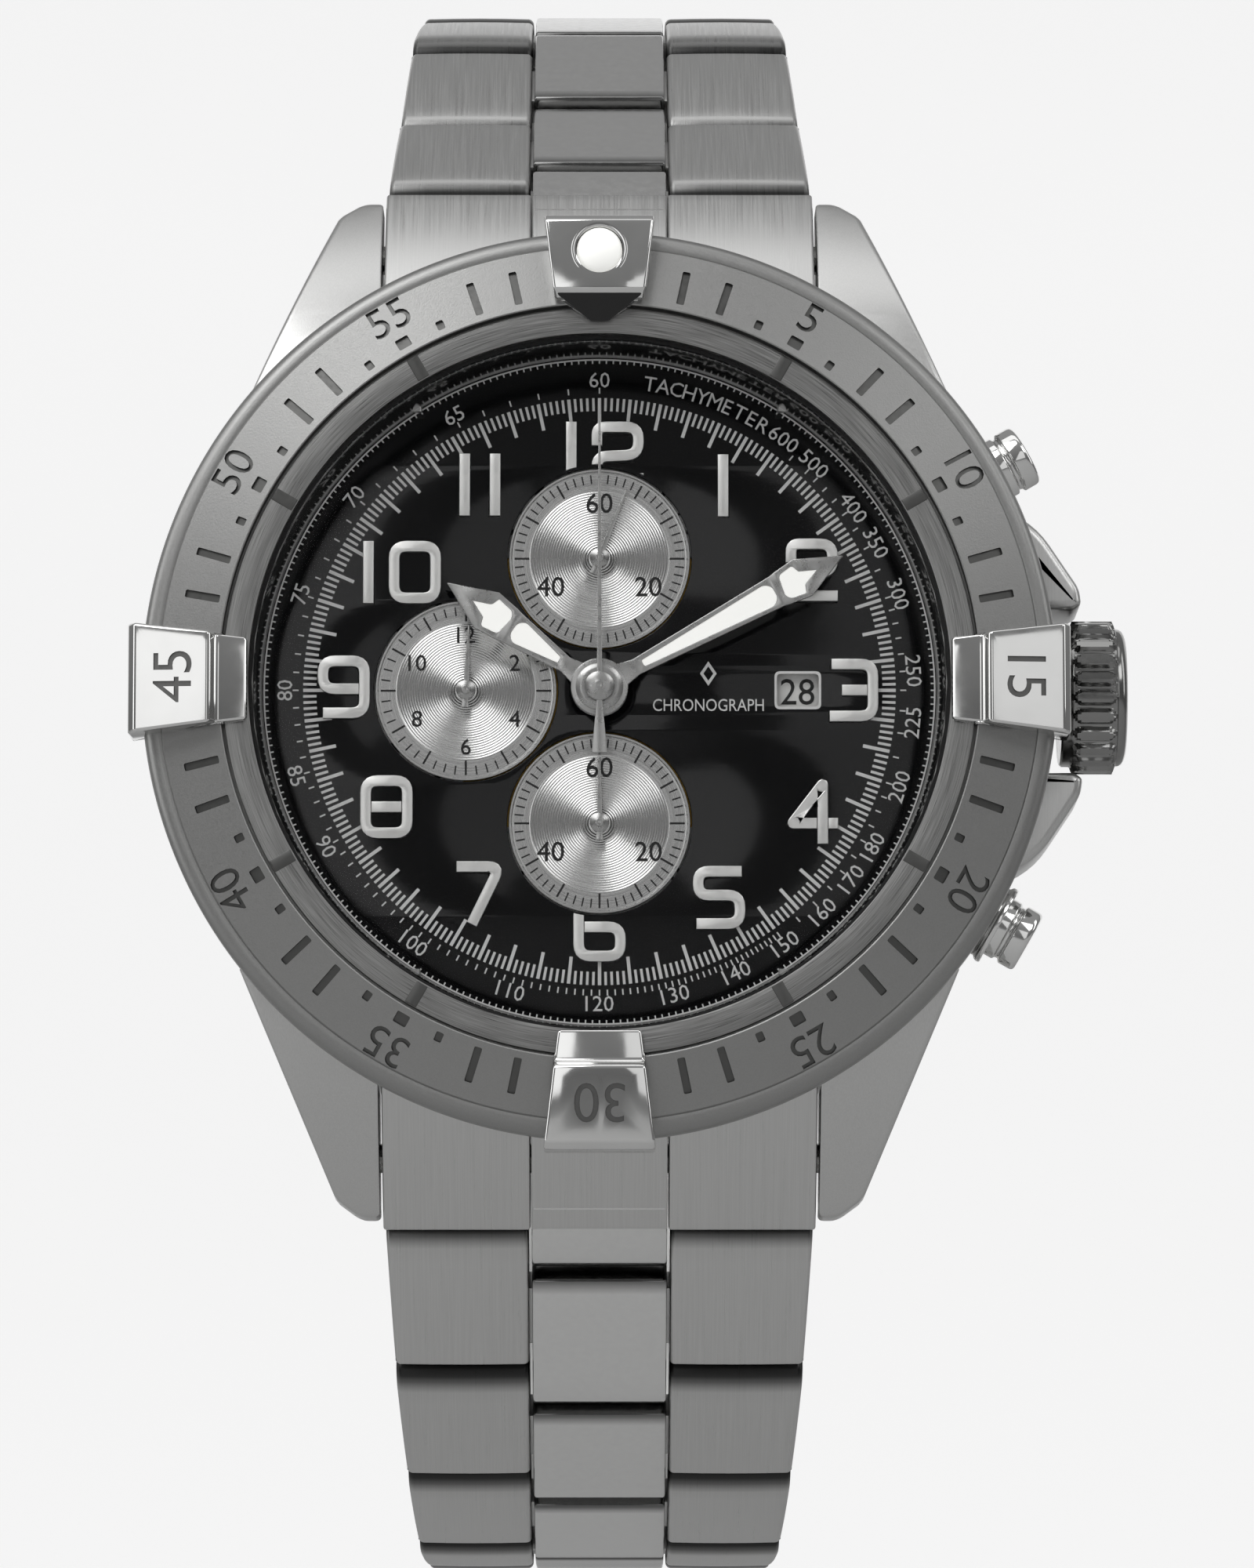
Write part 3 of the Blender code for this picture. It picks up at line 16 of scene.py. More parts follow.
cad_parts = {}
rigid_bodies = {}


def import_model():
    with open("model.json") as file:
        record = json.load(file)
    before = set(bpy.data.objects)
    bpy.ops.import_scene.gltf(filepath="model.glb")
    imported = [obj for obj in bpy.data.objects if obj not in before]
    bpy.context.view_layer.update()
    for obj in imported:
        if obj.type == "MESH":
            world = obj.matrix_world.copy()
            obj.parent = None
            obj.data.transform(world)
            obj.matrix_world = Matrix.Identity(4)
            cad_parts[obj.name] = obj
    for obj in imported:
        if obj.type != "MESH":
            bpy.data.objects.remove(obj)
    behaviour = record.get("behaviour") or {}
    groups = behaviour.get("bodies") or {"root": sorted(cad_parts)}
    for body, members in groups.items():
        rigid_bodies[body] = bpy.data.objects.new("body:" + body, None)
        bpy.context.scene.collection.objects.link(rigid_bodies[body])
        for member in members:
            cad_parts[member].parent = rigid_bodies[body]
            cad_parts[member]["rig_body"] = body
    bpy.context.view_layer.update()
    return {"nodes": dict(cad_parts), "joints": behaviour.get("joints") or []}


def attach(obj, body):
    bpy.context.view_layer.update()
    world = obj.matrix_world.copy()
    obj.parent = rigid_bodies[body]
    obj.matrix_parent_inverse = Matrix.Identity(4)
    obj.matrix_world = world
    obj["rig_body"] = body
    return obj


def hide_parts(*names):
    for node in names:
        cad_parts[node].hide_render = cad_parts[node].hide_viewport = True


bl_info = {
    "name": "Chronograph wristwatch",
    "version": (1, 0, 0),
    "blender": (4, 5, 0),
    "location": "3D View > Sidebar > Watch",
    "description": "Builds the visible pieces, finishes and stage of a chronograph wristwatch",
    "category": "Add Mesh",
}

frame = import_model()
JOINTS = {joint["name"]: joint for joint in frame["joints"]}
MM = 0.001
FULL_TURN = 2 * math.pi

# Head sizes in millimetres, as the frame's solids have them
CASE_RADIUS = 22.2
CASE_BOTTOM, CASE_TOP = 1.2, 8.6
CROWN_HEIGHT = 5.2
STRAP_HALF = 11.0
LUG_START, LUG_CURVE = 13.0, 7.2 / (26.87 - 13.0) ** 2
LUG_REACH, LUG_WALL = 26.2, 19.6
SLOPE_TOP, SLOPE_FOOT = (19.1, 12.2), (22.25, 11.35)
RIDER_TAN = math.tan(math.radians(6.8))
FACE_TOP, FACE_FOOT = (19.6, 13.1), (23.3, 12.75)
DIAL_TOP = 8.0
COUNTERS = {"12": (0.0, 6.75), "9": (-6.75, 0.0), "6": (0.0, -6.75)}
COUNTER_TOP = 7.85
HAND_ANGLES = {"hour": 304.8, "minute": 61.5, "chrono": 0.0, "12": 21.7, "9": 2.7, "6": 0.0}
LINK_PITCH, LINK_HALF, LINK_SHORT = 9.2, 1.45, 1.75
LINK_WIDTHS = (21.7, 20.9, 20.0, 19.2, 18.6, 18.2, 18.0, 18.0, 18.0)
CENTRE_HALF, ROW_GAP = 3.45, 0.15


# ---------------------------------------------------------------- shapes


def unit(vectors):
    """Each vector divided by its own length."""
    return vectors / np.maximum(np.linalg.norm(vectors, axis=-1, keepdims=True), 1e-12)


def fillet(outline, radius, steps=4):
    """Closed outline with each corner P rounded as (1-t)^2 A + 2t(1-t) P + t^2 B.

    A and B lie one radius from P along the corner's two sides.
    """
    p = np.asarray(outline, float)
    back, on = np.roll(p, 1, 0) - p, np.roll(p, -1, 0) - p
    room = 0.45 * np.minimum(np.linalg.norm(back, axis=1), np.linalg.norm(on, axis=1))
    reach = np.minimum(np.broadcast_to(radius, room.shape), room)[:, None]
    a, b = p + unit(back) * reach, p + unit(on) * reach
    t = np.linspace(0, 1, steps + 1)[None, :, None]
    arcs = (1 - t) ** 2 * a[:, None] + 2 * t * (1 - t) * p[:, None] + t * t * b[:, None]
    return arcs.reshape(-1, 2)


def circle(radius, steps, centre=(0.0, 0.0), start=0.0, end=FULL_TURN, closed=True):
    """Points (radius cos a, radius sin a) about a centre for a from start to end."""
    a = np.linspace(start, end, steps, endpoint=not closed)
    return np.stack([centre[0] + radius * np.cos(a), centre[1] + radius * np.sin(a)], -1)


def outward(outline):
    """Unit normals of a closed outline that runs anticlockwise, from each point's neighbours."""
    along = np.roll(outline, -1, 0) - np.roll(outline, 1, 0)
    return unit(np.stack([along[:, 1], -along[:, 0]], -1))


def loft(sections, closed=False):
    """Surface through equal closed loops: point (i, j) is loop i's point j; ends are capped."""
    m, n = sections.shape[:2]
    i = np.arange(m if closed else m - 1)[:, None]
    j = np.arange(n)[None, :]
    k, j2, k2 = i * n, (j + 1) % n, (i + 1) % m * n
    faces = np.stack([k + j, k + j2, k2 + j2, k2 + j], -1).reshape(-1, 4).tolist()
    if not closed:
        faces += [list(range(n))[::-1], list(range((m - 1) * n, m * n))]
    return sections.reshape(-1, 3), faces


def revolve(profile, steps=256, centre=(0.0, 0.0)):
    """Closed (radius, height) loop turned about Z: (r cos a, r sin a, h) for a round the circle."""
    profile = np.asarray(profile, float)
    a = np.linspace(0, FULL_TURN, steps, endpoint=False)[:, None]
    x = centre[0] + profile[:, 0] * np.cos(a)
    y = centre[1] + profile[:, 0] * np.sin(a)
    z = np.broadcast_to(profile[:, 1], x.shape)
    return loft(np.stack([x, y, z], -1), True)


def bar(outline, low, high, edge=0.15, camber=0.0, steps=4, middle=1):
    """A (y, z) outline carried along x from low to high, either of which may vary along it.

    At each side it shrinks along its normals by edge (1 - sin s) while x moves edge (1 - cos s).
    Between the sides its upper points sink by camber times the squared distance from the middle.
    """
    outline = np.asarray(outline, float)
    normals = outward(outline)
    s = np.linspace(0, math.pi / 2, steps + 1)
    x_in, sunk = edge * (1 - np.cos(s)), edge * (1 - np.sin(s))
    low, high = np.broadcast_to(low, len(outline)), np.broadcast_to(high, len(outline))
    share = np.linspace(0, 1, middle + 2)[1:-1, None]
    inner_low, inner_high = low + edge, high - edge
    x = np.concatenate([
        low + x_in[:, None],
        inner_low * (1 - share) + inner_high * share,
        (high - x_in[:, None])[::-1],
    ])
    sunk = np.concatenate([sunk, np.zeros(middle), sunk[::-1]])[:, None, None]
    yz = outline - normals * sunk
    half = np.maximum((high - low) / 2, 1e-6)
    drop = camber * ((x - (low + high) / 2) / half) ** 2 * (normals[:, 1] > 0.3)
    return loft(np.stack([x, yz[..., 0], yz[..., 1] - drop], -1))


def plate(outlines, low, high, edge=0.0):
    """Flat plate between two heights from closed outlines, inner ones being holes."""
    curve = bpy.data.curves.new("outline", "CURVE")
    curve.dimensions, curve.fill_mode = "2D", "BOTH"
    curve.extrude = (high - low) / 2 - edge
    curve.bevel_depth, curve.bevel_resolution, curve.offset = edge, 1, -edge
    for outline in outlines:
        spline = curve.splines.new("POLY")
        spline.points.add(len(outline) - 1)
        flat = np.zeros((len(outline), 4))
        flat[:, :2] = outline
        flat[:, 3] = 1
        spline.points.foreach_set("co", flat.ravel())
        spline.use_cyclic_u = True
    points, faces = flat_curve_mesh(curve)
    return points + (0, 0, (low + high) / 2), faces


def flat_curve_mesh(curve):
    """A curve's or text's filled mesh as points and faces."""
    holder = bpy.data.objects.new(curve.name, curve)
    bpy.context.scene.collection.objects.link(holder)
    mesh = bpy.data.meshes.new_from_object(
        holder.evaluated_get(bpy.context.evaluated_depsgraph_get())
    )
    bpy.data.objects.remove(holder)
    points = np.zeros(len(mesh.vertices) * 3)
    mesh.vertices.foreach_get("co", points)
    faces = [list(polygon.vertices) for polygon in mesh.polygons]
    bpy.data.meshes.remove(mesh)
    return points.reshape(-1, 3), faces


def lettering(text, height, low, high, width=None, detail=3):
    """Generic dial text as a plate of that height, centred on its own middle."""
    curve = bpy.data.curves.new("text", "FONT")
    curve.body, curve.resolution_u = text, detail
    curve.extrude = 0.5
    points, faces = flat_curve_mesh(curve)
    lowest, highest = points.min(0), points.max(0)
    size = highest - lowest
    scale = height / size[1]
    stretch = scale if width is None else width / size[0]
    points = (points - (lowest + highest) / 2) * (stretch, scale, (high - low) / size[2])
    return points + (0, 0, (low + high) / 2), faces


def boxes(centres, angles, half_length, half_width, low, high):
    """Many small blocks at once: each a box about its centre, its length turned to its angle."""
    centres = np.asarray(centres, float).reshape(-1, 2)
    count = len(centres)
    a = np.broadcast_to(np.asarray(angles, float), count)[:, None]
    length, width = np.broadcast_to(half_length, count), np.broadcast_to(half_width, count)
    u = np.array([-1, 1, 1, -1, -1, 1, 1, -1]) * length[:, None]
    v = np.array([-1, -1, 1, 1, -1, -1, 1, 1]) * width[:, None]
    x = centres[:, :1] + u * np.cos(a) - v * np.sin(a)
    y = centres[:, 1:] + u * np.sin(a) + v * np.cos(a)
    z = np.broadcast_to(np.array([low] * 4 + [high] * 4, float), x.shape)
    cube = [[0, 3, 2, 1], [4, 5, 6, 7], [0, 1, 5, 4], [1, 2, 6, 5], [2, 3, 7, 6], [3, 0, 4, 7]]
    faces = (np.arange(count)[:, None, None] * 8 + np.array(cube)).reshape(-1, 4).tolist()
    return np.stack([x, y, z], -1).reshape(-1, 3), faces


def ticks(clock_angles, inner, outer, width, low, high, centre=(0.0, 0.0)):
    """Radial blocks at clock angles in degrees: the block's middle is at (r sin a, r cos a)."""
    a = np.radians(np.asarray(clock_angles, float))
    r = (np.asarray(inner) + outer) / 2
    places = np.stack([centre[0] + r * np.sin(a), centre[1] + r * np.cos(a)], -1)
    length = (outer - np.asarray(inner)) / 2
    return boxes(places, math.pi / 2 - a, length, width / 2, low, high)


def stroke(path, width, radius=0.0, closed=False):
    """Outlines of a band of that width along a path whose corners are rounded.

    Each side is the path moved by half the width along its mitred normals.
    """
    p = np.asarray(path, float)
    radii = np.broadcast_to(np.asarray(radius, float), len(p)).copy()
    if not closed:
        radii[[0, -1]] = 0
    line = fillet(p, radii, 5)
    if not closed:
        line = line[6:-6]
        line = np.concatenate([p[:1], line, p[-1:]])
    ahead = unit(np.roll(line, -1, 0) - line)
    behind = unit(line - np.roll(line, 1, 0))
    if not closed:
        ahead[-1], behind[0] = behind[-1], ahead[0]
    mid = unit(ahead + behind)
    mitre = np.maximum((mid * ahead).sum(1, keepdims=True), 0.5)
    side = np.stack([-mid[:, 1], mid[:, 0]], -1) / mitre * width / 2
    if closed:
        return [line + side, line - side]
    return [np.concatenate([line + side, (line - side)[::-1]])]


def placed(shape, origin, x_axis, y_axis, z_axis):
    """A shape put at an origin, its own three axes turned to the given ones."""
    points, faces = shape
    axes = np.array([x_axis, y_axis, z_axis], float)
    return points @ axes + np.asarray(origin, float), faces


def turned(shape, clock_angle):
    """A shape turned clockwise, as seen from the front, about the head's middle."""
    a = math.radians(clock_angle)
    c, s = math.cos(a), math.sin(a)
    return placed(shape, (0, 0, 0), (c, -s, 0), (s, c, 0), (0, 0, 1))


def at_clock(shape, clock_angle, top, foot, share=0.5):
    """A flat shape laid on the cone between two (radius, height) places, its top outwards."""
    top, foot = np.array(top), np.array(foot)
    radius, height = top + (foot - top) * share
    down = unit(foot - top)
    shape = placed(shape, (0, radius, height), (1, 0, 0), (0, *down), (0, -down[1], down[0]))
    return turned(shape, clock_angle)


def radial(shape, clock_angle):
    """A shape whose Z runs outwards from the head's middle at crown height."""
    shape = placed(shape, (0, 0, CROWN_HEIGHT), (1, 0, 0), (0, 0, -1), (0, 1, 0))
    return turned(shape, clock_angle)


def joined(*shapes):
    """Several shapes as one list of points and faces."""
    points, faces, count = [], [], 0
    for own_points, own_faces in shapes:
        points.append(own_points)
        faces += [[index + count for index in face] for face in own_faces]
        count += len(own_points)
    return np.concatenate(points), faces


# ---------------------------------------------------------------- pieces


def mesh_of(name, shapes, upright=True, merge=0.001):
    """A mesh from shapes in millimetres, one material index each, doubles merged, facing out."""
    points, faces = joined(*shapes)
    if upright:
        points = np.stack([points[:, 0], -points[:, 2], points[:, 1]], -1)
    mesh = bpy.data.meshes.new(name)
    mesh.from_pydata((points * MM).tolist(), [], faces)
    counts = [len(own_faces) for _, own_faces in shapes]
    mesh.polygons.foreach_set("material_index", np.repeat(np.arange(len(shapes)), counts))
    shape = bmesh.new()
    shape.from_mesh(mesh)
    bmesh.ops.remove_doubles(shape, verts=shape.verts, dist=merge * MM)
    bmesh.ops.recalc_face_normals(shape, faces=shape.faces)
    shape.to_mesh(mesh)
    shape.free()
    return mesh


def piece(name, shapes, body, finish, replaces=(), angle=30.0, upright=True, merge=0.001):
    """Make a mesh piece, give it its finish, let it ride and hide the CAD solids it replaces.

    Shapes are one list, or a dict of finish name to list when the piece has several finishes.
    """
    groups = shapes if isinstance(shapes, dict) else {finish: shapes}
    mesh = mesh_of(name, [joined(*group) for group in groups.values()], upright, merge)
    obj = bpy.data.objects.new(name, mesh)
    bpy.context.scene.collection.objects.link(obj)
    for key in groups:
        mesh.materials.append(material(key))
    mesh.shade_smooth()
    mesh.set_sharp_from_angle(angle=math.radians(angle))
    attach(obj, body)
    if replaces:
        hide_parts(*replaces)
    return obj


def engraved(obj, cutters, finish, upright=True):
    """Cut shapes out of a piece, the cut's own walls and floor taking another finish."""
    tool = bpy.data.objects.new("cutter", mesh_of("cutter", [joined(*cutters)], upright))
    bpy.context.scene.collection.objects.link(tool)
    obj.data.materials.append(material(finish))
    tool.data.materials.append(obj.data.materials[0])
    tool.data.materials.append(material(finish))
    tool.data.polygons.foreach_set("material_index", [1] * len(tool.data.polygons))
    modifier = obj.modifiers.new("engraving", "BOOLEAN")
    modifier.operation, modifier.solver, modifier.object = "DIFFERENCE", "MANIFOLD", tool
    evaluated = obj.evaluated_get(bpy.context.evaluated_depsgraph_get())
    mesh = bpy.data.meshes.new_from_object(evaluated)
    obj.modifiers.clear()
    old, obj.data = obj.data, mesh
    bpy.data.meshes.remove(old)
    bpy.data.objects.remove(tool)
    mesh.shade_smooth()
    mesh.set_sharp_from_angle(angle=math.radians(25))
    return obj


def softened(node, finish, edge=0.12, name=None):
    """A copy of a CAD solid with its doubles merged and its sharp edges rounded."""
    source = frame["nodes"][node]
    mesh = source.data.copy()
    shape = bmesh.new()
    shape.from_mesh(mesh)
    bmesh.ops.remove_doubles(shape, verts=shape.verts, dist=0.002 * MM)
    bmesh.ops.dissolve_limit(
        shape, angle_limit=math.radians(1), verts=shape.verts, edges=shape.edges
    )
    shape.to_mesh(mesh)
    shape.free()
    mesh.materials.clear()
    mesh.materials.append(material(finish))
    obj = bpy.data.objects.new(name or node + "_finished", mesh)
    bpy.context.scene.collection.objects.link(obj)
    bevel = obj.modifiers.new("rounded edges", "BEVEL")
    bevel.width, bevel.segments = edge * MM, 2
    bevel.limit_method, bevel.angle_limit = "ANGLE", math.radians(28)
    bevel.harden_normals = True
    mesh.shade_smooth()
    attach(obj, source["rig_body"])
    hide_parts(node)
    return obj


# ---------------------------------------------------------------- finishes


def linear(code):
    """An sRGB hex colour such as #C8C8C6 as linear red, green, blue and alpha 1."""
    channels = np.array([int(code[i:i + 2], 16) for i in (1, 3, 5)]) / 255
    low = channels / 12.92
    high = ((channels + 0.055) / 1.055) ** 2.4
    return (*np.where(channels <= 0.04045, low, high).tolist(), 1.0)


def add_node(tree, kind, settings=None, **inputs):
    """Add a node, set its properties and its inputs; an input may be a value or a socket."""
    node = tree.nodes.new(kind)
    for key, value in (settings or {}).items():
        setattr(node, key, value)
    for key, value in inputs.items():
        key = int(key[1:]) if key[0] == "_" else key.replace("_", " ")
        if isinstance(value, bpy.types.NodeSocket):
            tree.links.new(value, node.inputs[key])
        else:
            node.inputs[key].default_value = value
    return node


def new_finish(name, **inputs):
    """An empty Principled material with constants on its sockets."""
    made = bpy.data.materials.new(name)
    made.use_nodes = True
    shader = made.node_tree.nodes["Principled BSDF"]
    for key, value in inputs.items():
        shader.inputs[key.replace("_", " ")].default_value = value
    return made, made.node_tree, shader


def object_places(tree):
    """The object's own coordinates, in metres."""
    return tree.nodes.new("ShaderNodeTexCoord").outputs["Object"]


def spread(tree, noise, low, high):
    """A noise socket stretched to a range."""
    return add_node(
        tree, "ShaderNodeMapRange", _0=noise, _1=0.3, _2=0.7, _3=low, _4=high
    ).outputs[0]


def bumped(tree, shader, height, depth, strength=1.0):
    """Bump from a height socket, its depth in millimetres."""
    bump = add_node(
        tree, "ShaderNodeBump", Height=height, Distance=depth * MM, Strength=strength
    )
    tree.links.new(bump.outputs[0], shader.inputs["Normal"])


def hairlines(tree, pitch, length, across):
    """Noise drawn out into lines: pitch apart across the brushing, many times as long along it."""
    scale = [1 / (length * MM)] * 3
    for axis in across:
        scale["XYZ".index(axis)] = 1 / (pitch * MM)
    mapped = add_node(
        tree, "ShaderNodeMapping", Vector=object_places(tree), Scale=tuple(scale)
    ).outputs[0]
    return add_node(
        tree, "ShaderNodeTexNoise", Vector=mapped, Scale=1.0, Detail=3.0, Roughness=0.6
    ).outputs[0]


def rings(tree, pitch, sweep, centre=(0.0, 0.0)):
    """Noise drawn out round an axis along Y: read at (radius / pitch, angle x sweep)."""
    moved = add_node(
        tree, "ShaderNodeVectorMath", {"operation": "SUBTRACT"},
        _0=object_places(tree), _1=(centre[0] * MM, 0, centre[1] * MM),
    ).outputs[0]
    parts = add_node(tree, "ShaderNodeSeparateXYZ", Vector=moved).outputs
    flat = add_node(tree, "ShaderNodeCombineXYZ", X=parts[0], Y=parts[2]).outputs[0]
    radius = add_node(
        tree, "ShaderNodeVectorMath", {"operation": "LENGTH"}, _0=flat
    ).outputs["Value"]
    angle = add_node(
        tree, "ShaderNodeMath", {"operation": "ARCTAN2"}, _0=parts[2], _1=parts[0]
    ).outputs[0]
    across = add_node(
        tree, "ShaderNodeMath", {"operation": "MULTIPLY"}, _0=radius, _1=1 / (pitch * MM)
    ).outputs[0]
    along = add_node(
        tree, "ShaderNodeMath", {"operation": "MULTIPLY"}, _0=angle, _1=sweep
    ).outputs[0]
    place = add_node(tree, "ShaderNodeCombineXYZ", X=across, Y=along).outputs[0]
    return add_node(
        tree, "ShaderNodeTexNoise", Vector=place, Scale=1.0, Detail=2.0, Roughness=0.6
    ).outputs[0]


def grains(tree, size, detail=2.0):
    """Plain noise with grains of that size in millimetres."""
    return add_node(
        tree, "ShaderNodeTexNoise", Vector=object_places(tree), Scale=1 / (size * MM),
        Detail=detail, Roughness=0.6,
    ).outputs[0]


def tinted(tree, shader, factor, colour, amount=0.05):
    """Base colour that a factor moves a little to either side of a linear colour."""
    first = [min(1.0, channel * (1 - amount)) for channel in colour[:3]]
    second = [min(1.0, channel * (1 + amount)) for channel in colour[:3]]
    mix = add_node(
        tree, "ShaderNodeMix", {"data_type": "RGBA"}, _0=factor,
        _6=(*first, 1.0), _7=(*second, 1.0),
    )
    tree.links.new(mix.outputs[2], shader.inputs["Base Color"])


def dulled(tree, shader):
    """Painted shade: darken the colour where the mesh's own gap-shade attribute rises, standing in
    for the shade that falls in the hinge gaps.
    """
    gap_shade = add_node(tree, "ShaderNodeAttribute", {"attribute_name": "gap_shade"}).outputs["Fac"]
    clean = shader.inputs["Base Color"].links[0].from_socket
    mix = add_node(tree, "ShaderNodeMix", {"data_type": "RGBA"}, _0=gap_shade, _6=clean,
                   _7=(0.012, 0.012, 0.012, 1))
    tree.links.new(mix.outputs[2], shader.inputs["Base Color"])


def satin(name, colour, rough, pitch, length, across, depth):
    """Brushed stainless steel: fine parallel lines that stretch highlights across them."""
    made, tree, shader = new_finish(name, Metallic=1.0)
    lines = hairlines(tree, pitch, length, across)
    tinted(tree, shader, spread(tree, lines, 0, 1), colour)
    # Painted shade: the colour darkens at each link row's rolled start, where the hinge gaps are.
    dulled(tree, shader)
    tree.links.new(spread(tree, lines, *rough), shader.inputs["Roughness"])
    bumped(tree, shader, lines, depth)
    return made


def satin_steel(colours):
    """Stainless steel brushed along the bracelet; real lines are 0.02 mm, drawn 0.07 mm."""
    return satin("brushed_stainless", colours.satin, (0.27, 0.4), 0.07, 6.0, "X", 0.004)


def satin_case(colours):
    """Stainless steel case brushed from lug to lug, a little finer than the bracelet."""
    return satin("brushed_case", colours.satin, (0.28, 0.38), 0.06, 9.0, "XY", 0.003)


def ring_steel(colours):
    """Stainless ring brushed round on a lathe, dark because it faces an even grey room."""
    made, tree, shader = new_finish("lathe_brushed_stainless", Metallic=1.0)
    lines = rings(tree, 0.05, 6.0)
    tinted(tree, shader, spread(tree, lines, 0, 1), colours.ring, 0.3)
    tree.links.new(spread(tree, lines, 0.26, 0.44), shader.inputs["Roughness"])
    bumped(tree, shader, lines, 0.006)
    return made


def ring_back(colours):
    """Case back turned on a lathe: lighter, finer rings than the bezel's band."""
    made, tree, shader = new_finish("turned_case_back", Metallic=1.0)
    lines = rings(tree, 0.08, 3.0)
    tinted(tree, shader, spread(tree, lines, 0, 1), colours.satin, 0.1)
    tree.links.new(spread(tree, lines, 0.25, 0.38), shader.inputs["Roughness"])
    return made


def polished_steel(colours):
    """Mirror-polished stainless: only faint wiping marks soften its reflections."""
    made, tree, shader = new_finish("polished_stainless", Metallic=1.0)
    cloud = grains(tree, 1.6)
    tinted(tree, shader, cloud, colours.polished)
    tree.links.new(spread(tree, cloud, 0.05, 0.1), shader.inputs["Roughness"])
    return made


def blasted_steel(colours):
    """Bead-blasted stainless: an even, sugary grain; real dents are 0.03 mm, drawn 0.09 mm."""
    made, tree, shader = new_finish("bead_blasted_stainless", Metallic=1.0)
    grain = grains(tree, 0.09, 3.0)
    tinted(tree, shader, spread(tree, grain, 0, 1), colours.blasted)
    tree.links.new(spread(tree, grain, 0.36, 0.48), shader.inputs["Roughness"])
    bumped(tree, shader, grain, 0.006)
    return made


def engraving_steel(colours):
    """Cut recess in the bezel: brighter and smoother than the blasted face round it. Its colour is
    set darker than the face's, painted shade inside the cut.
    """
    made, tree, shader = new_finish("milled_stainless", Metallic=1.0)
    cloud = grains(tree, 0.25)
    tinted(tree, shader, cloud, colours.engraving)
    tree.links.new(spread(tree, cloud, 0.32, 0.46), shader.inputs["Roughness"])
    return made


def black_lacquer(colours):
    """Sprayed and polished dial lacquer: deep black with a very fine orange peel."""
    made, tree, shader = new_finish("dial_lacquer", IOR=1.5, Specular_IOR_Level=0.3)
    cloud = grains(tree, 0.5)
    tinted(tree, shader, cloud, colours.dial)
    tree.links.new(spread(tree, cloud, 0.09, 0.13), shader.inputs["Roughness"])
    bumped(tree, shader, cloud, 0.0006)
    return made


def silvered(colours, centre):
    """Silvered counter: its turned grooves are mesh, and fine ring noise softens their glint."""
    made, tree, shader = new_finish("silvered_brass", Metallic=1.0)
    lines = rings(tree, 0.06, 0.35, centre)
    tinted(tree, shader, lines, colours.silver)
    tree.links.new(spread(tree, lines, 0.2, 0.3), shader.inputs["Roughness"])
    return made


def paper(colours):
    """Matt studio paper with a little light of its own, so that it reads as an even pale field."""
    made, tree, shader = new_finish("studio_paper", IOR=1.4, Emission_Strength=0.79)
    depth = add_node(tree, "ShaderNodeSeparateXYZ", Vector=object_places(tree)).outputs[1]
    behind = add_node(tree, "ShaderNodeMapRange", _0=depth, _1=0.8, _2=2.8).outputs[0]
    glow = add_node(
        tree, "ShaderNodeMix", {"data_type": "RGBA"}, _0=behind,
        _6=(0.0, 0.0, 0.0, 1), _7=(*colours.paper, 1.0),
    )
    tree.links.new(glow.outputs[2], shader.inputs["Emission Color"])
    cloud = grains(tree, 60.0)
    tinted(tree, shader, cloud, [channel * 0.55 for channel in colours.paper], 0.02)
    tree.links.new(spread(tree, cloud, 0.85, 0.95), shader.inputs["Roughness"])
    return made


def lume(colours):
    """Luminous filling: chalky white pigment in clear binder, with a faint painted glow that lifts
    it to a bright white under the lamps.
    """
    # Painted light: a constant emission on the lume, which is no lamp.
    made, tree, shader = new_finish(
        "luminous_paint", IOR=1.5, Emission_Color=(1, 1, 0.98, 1), Emission_Strength=0.35
    )
    grain = grains(tree, 0.08)
    tinted(tree, shader, grain, colours.lume)
    tree.links.new(spread(tree, grain, 0.5, 0.65), shader.inputs["Roughness"])
    bumped(tree, shader, grain, 0.003)
    return made


def printing(name, colour, rough=(0.45, 0.6)):
    """Pad-printed ink: matt, a hair uneven where the pad lifted."""
    made, tree, shader = new_finish(name, IOR=1.5)
    grain = grains(tree, 0.1)
    tinted(tree, shader, grain, colour)
    tree.links.new(spread(tree, grain, *rough), shader.inputs["Roughness"])
    return made


def sapphire(colours):
    """Sapphire crystal with anti-reflective coating: clear in front, a grey gloss at its edge."""
    made, tree, shader = new_finish("sapphire_crystal", IOR=1.77, Roughness=0.02)
    smears = grains(tree, 3.0)
    tinted(tree, shader, smears, colours.crystal)
    facing = add_node(tree, "ShaderNodeLayerWeight", Blend=0.35).outputs["Facing"]
    veil = add_node(
        tree, "ShaderNodeMapRange", _0=facing, _1=0.1, _2=1.0, _3=0.012, _4=0.45
    ).outputs[0]
    tree.links.new(veil, shader.inputs["Alpha"])
    return made


def speckled(name, code, rough, size, metallic=0.0, depth=0.004, **inputs):
    """A plain technical surface with a fine grain in its colour, gloss and relief."""
    made, tree, shader = new_finish(name, Metallic=metallic, **inputs)
    grain = grains(tree, size)
    tinted(tree, shader, grain, linear(code), 0.12)
    tree.links.new(spread(tree, grain, *rough), shader.inputs["Roughness"])
    bumped(tree, shader, grain, depth)
    return made


def speckled_metal(name, colour, rough, with_gap_shade=False):
    """Metal with a faint cloudiness in its colour and gloss."""
    made, tree, shader = new_finish(name, Metallic=1.0)
    cloud = grains(tree, 0.4)
    tinted(tree, shader, cloud, colour)
    # Where asked, painted shade darkens the colour at the links' rolled starts.
    if with_gap_shade:
        dulled(tree, shader)
    tree.links.new(spread(tree, cloud, *rough), shader.inputs["Roughness"])
    return made


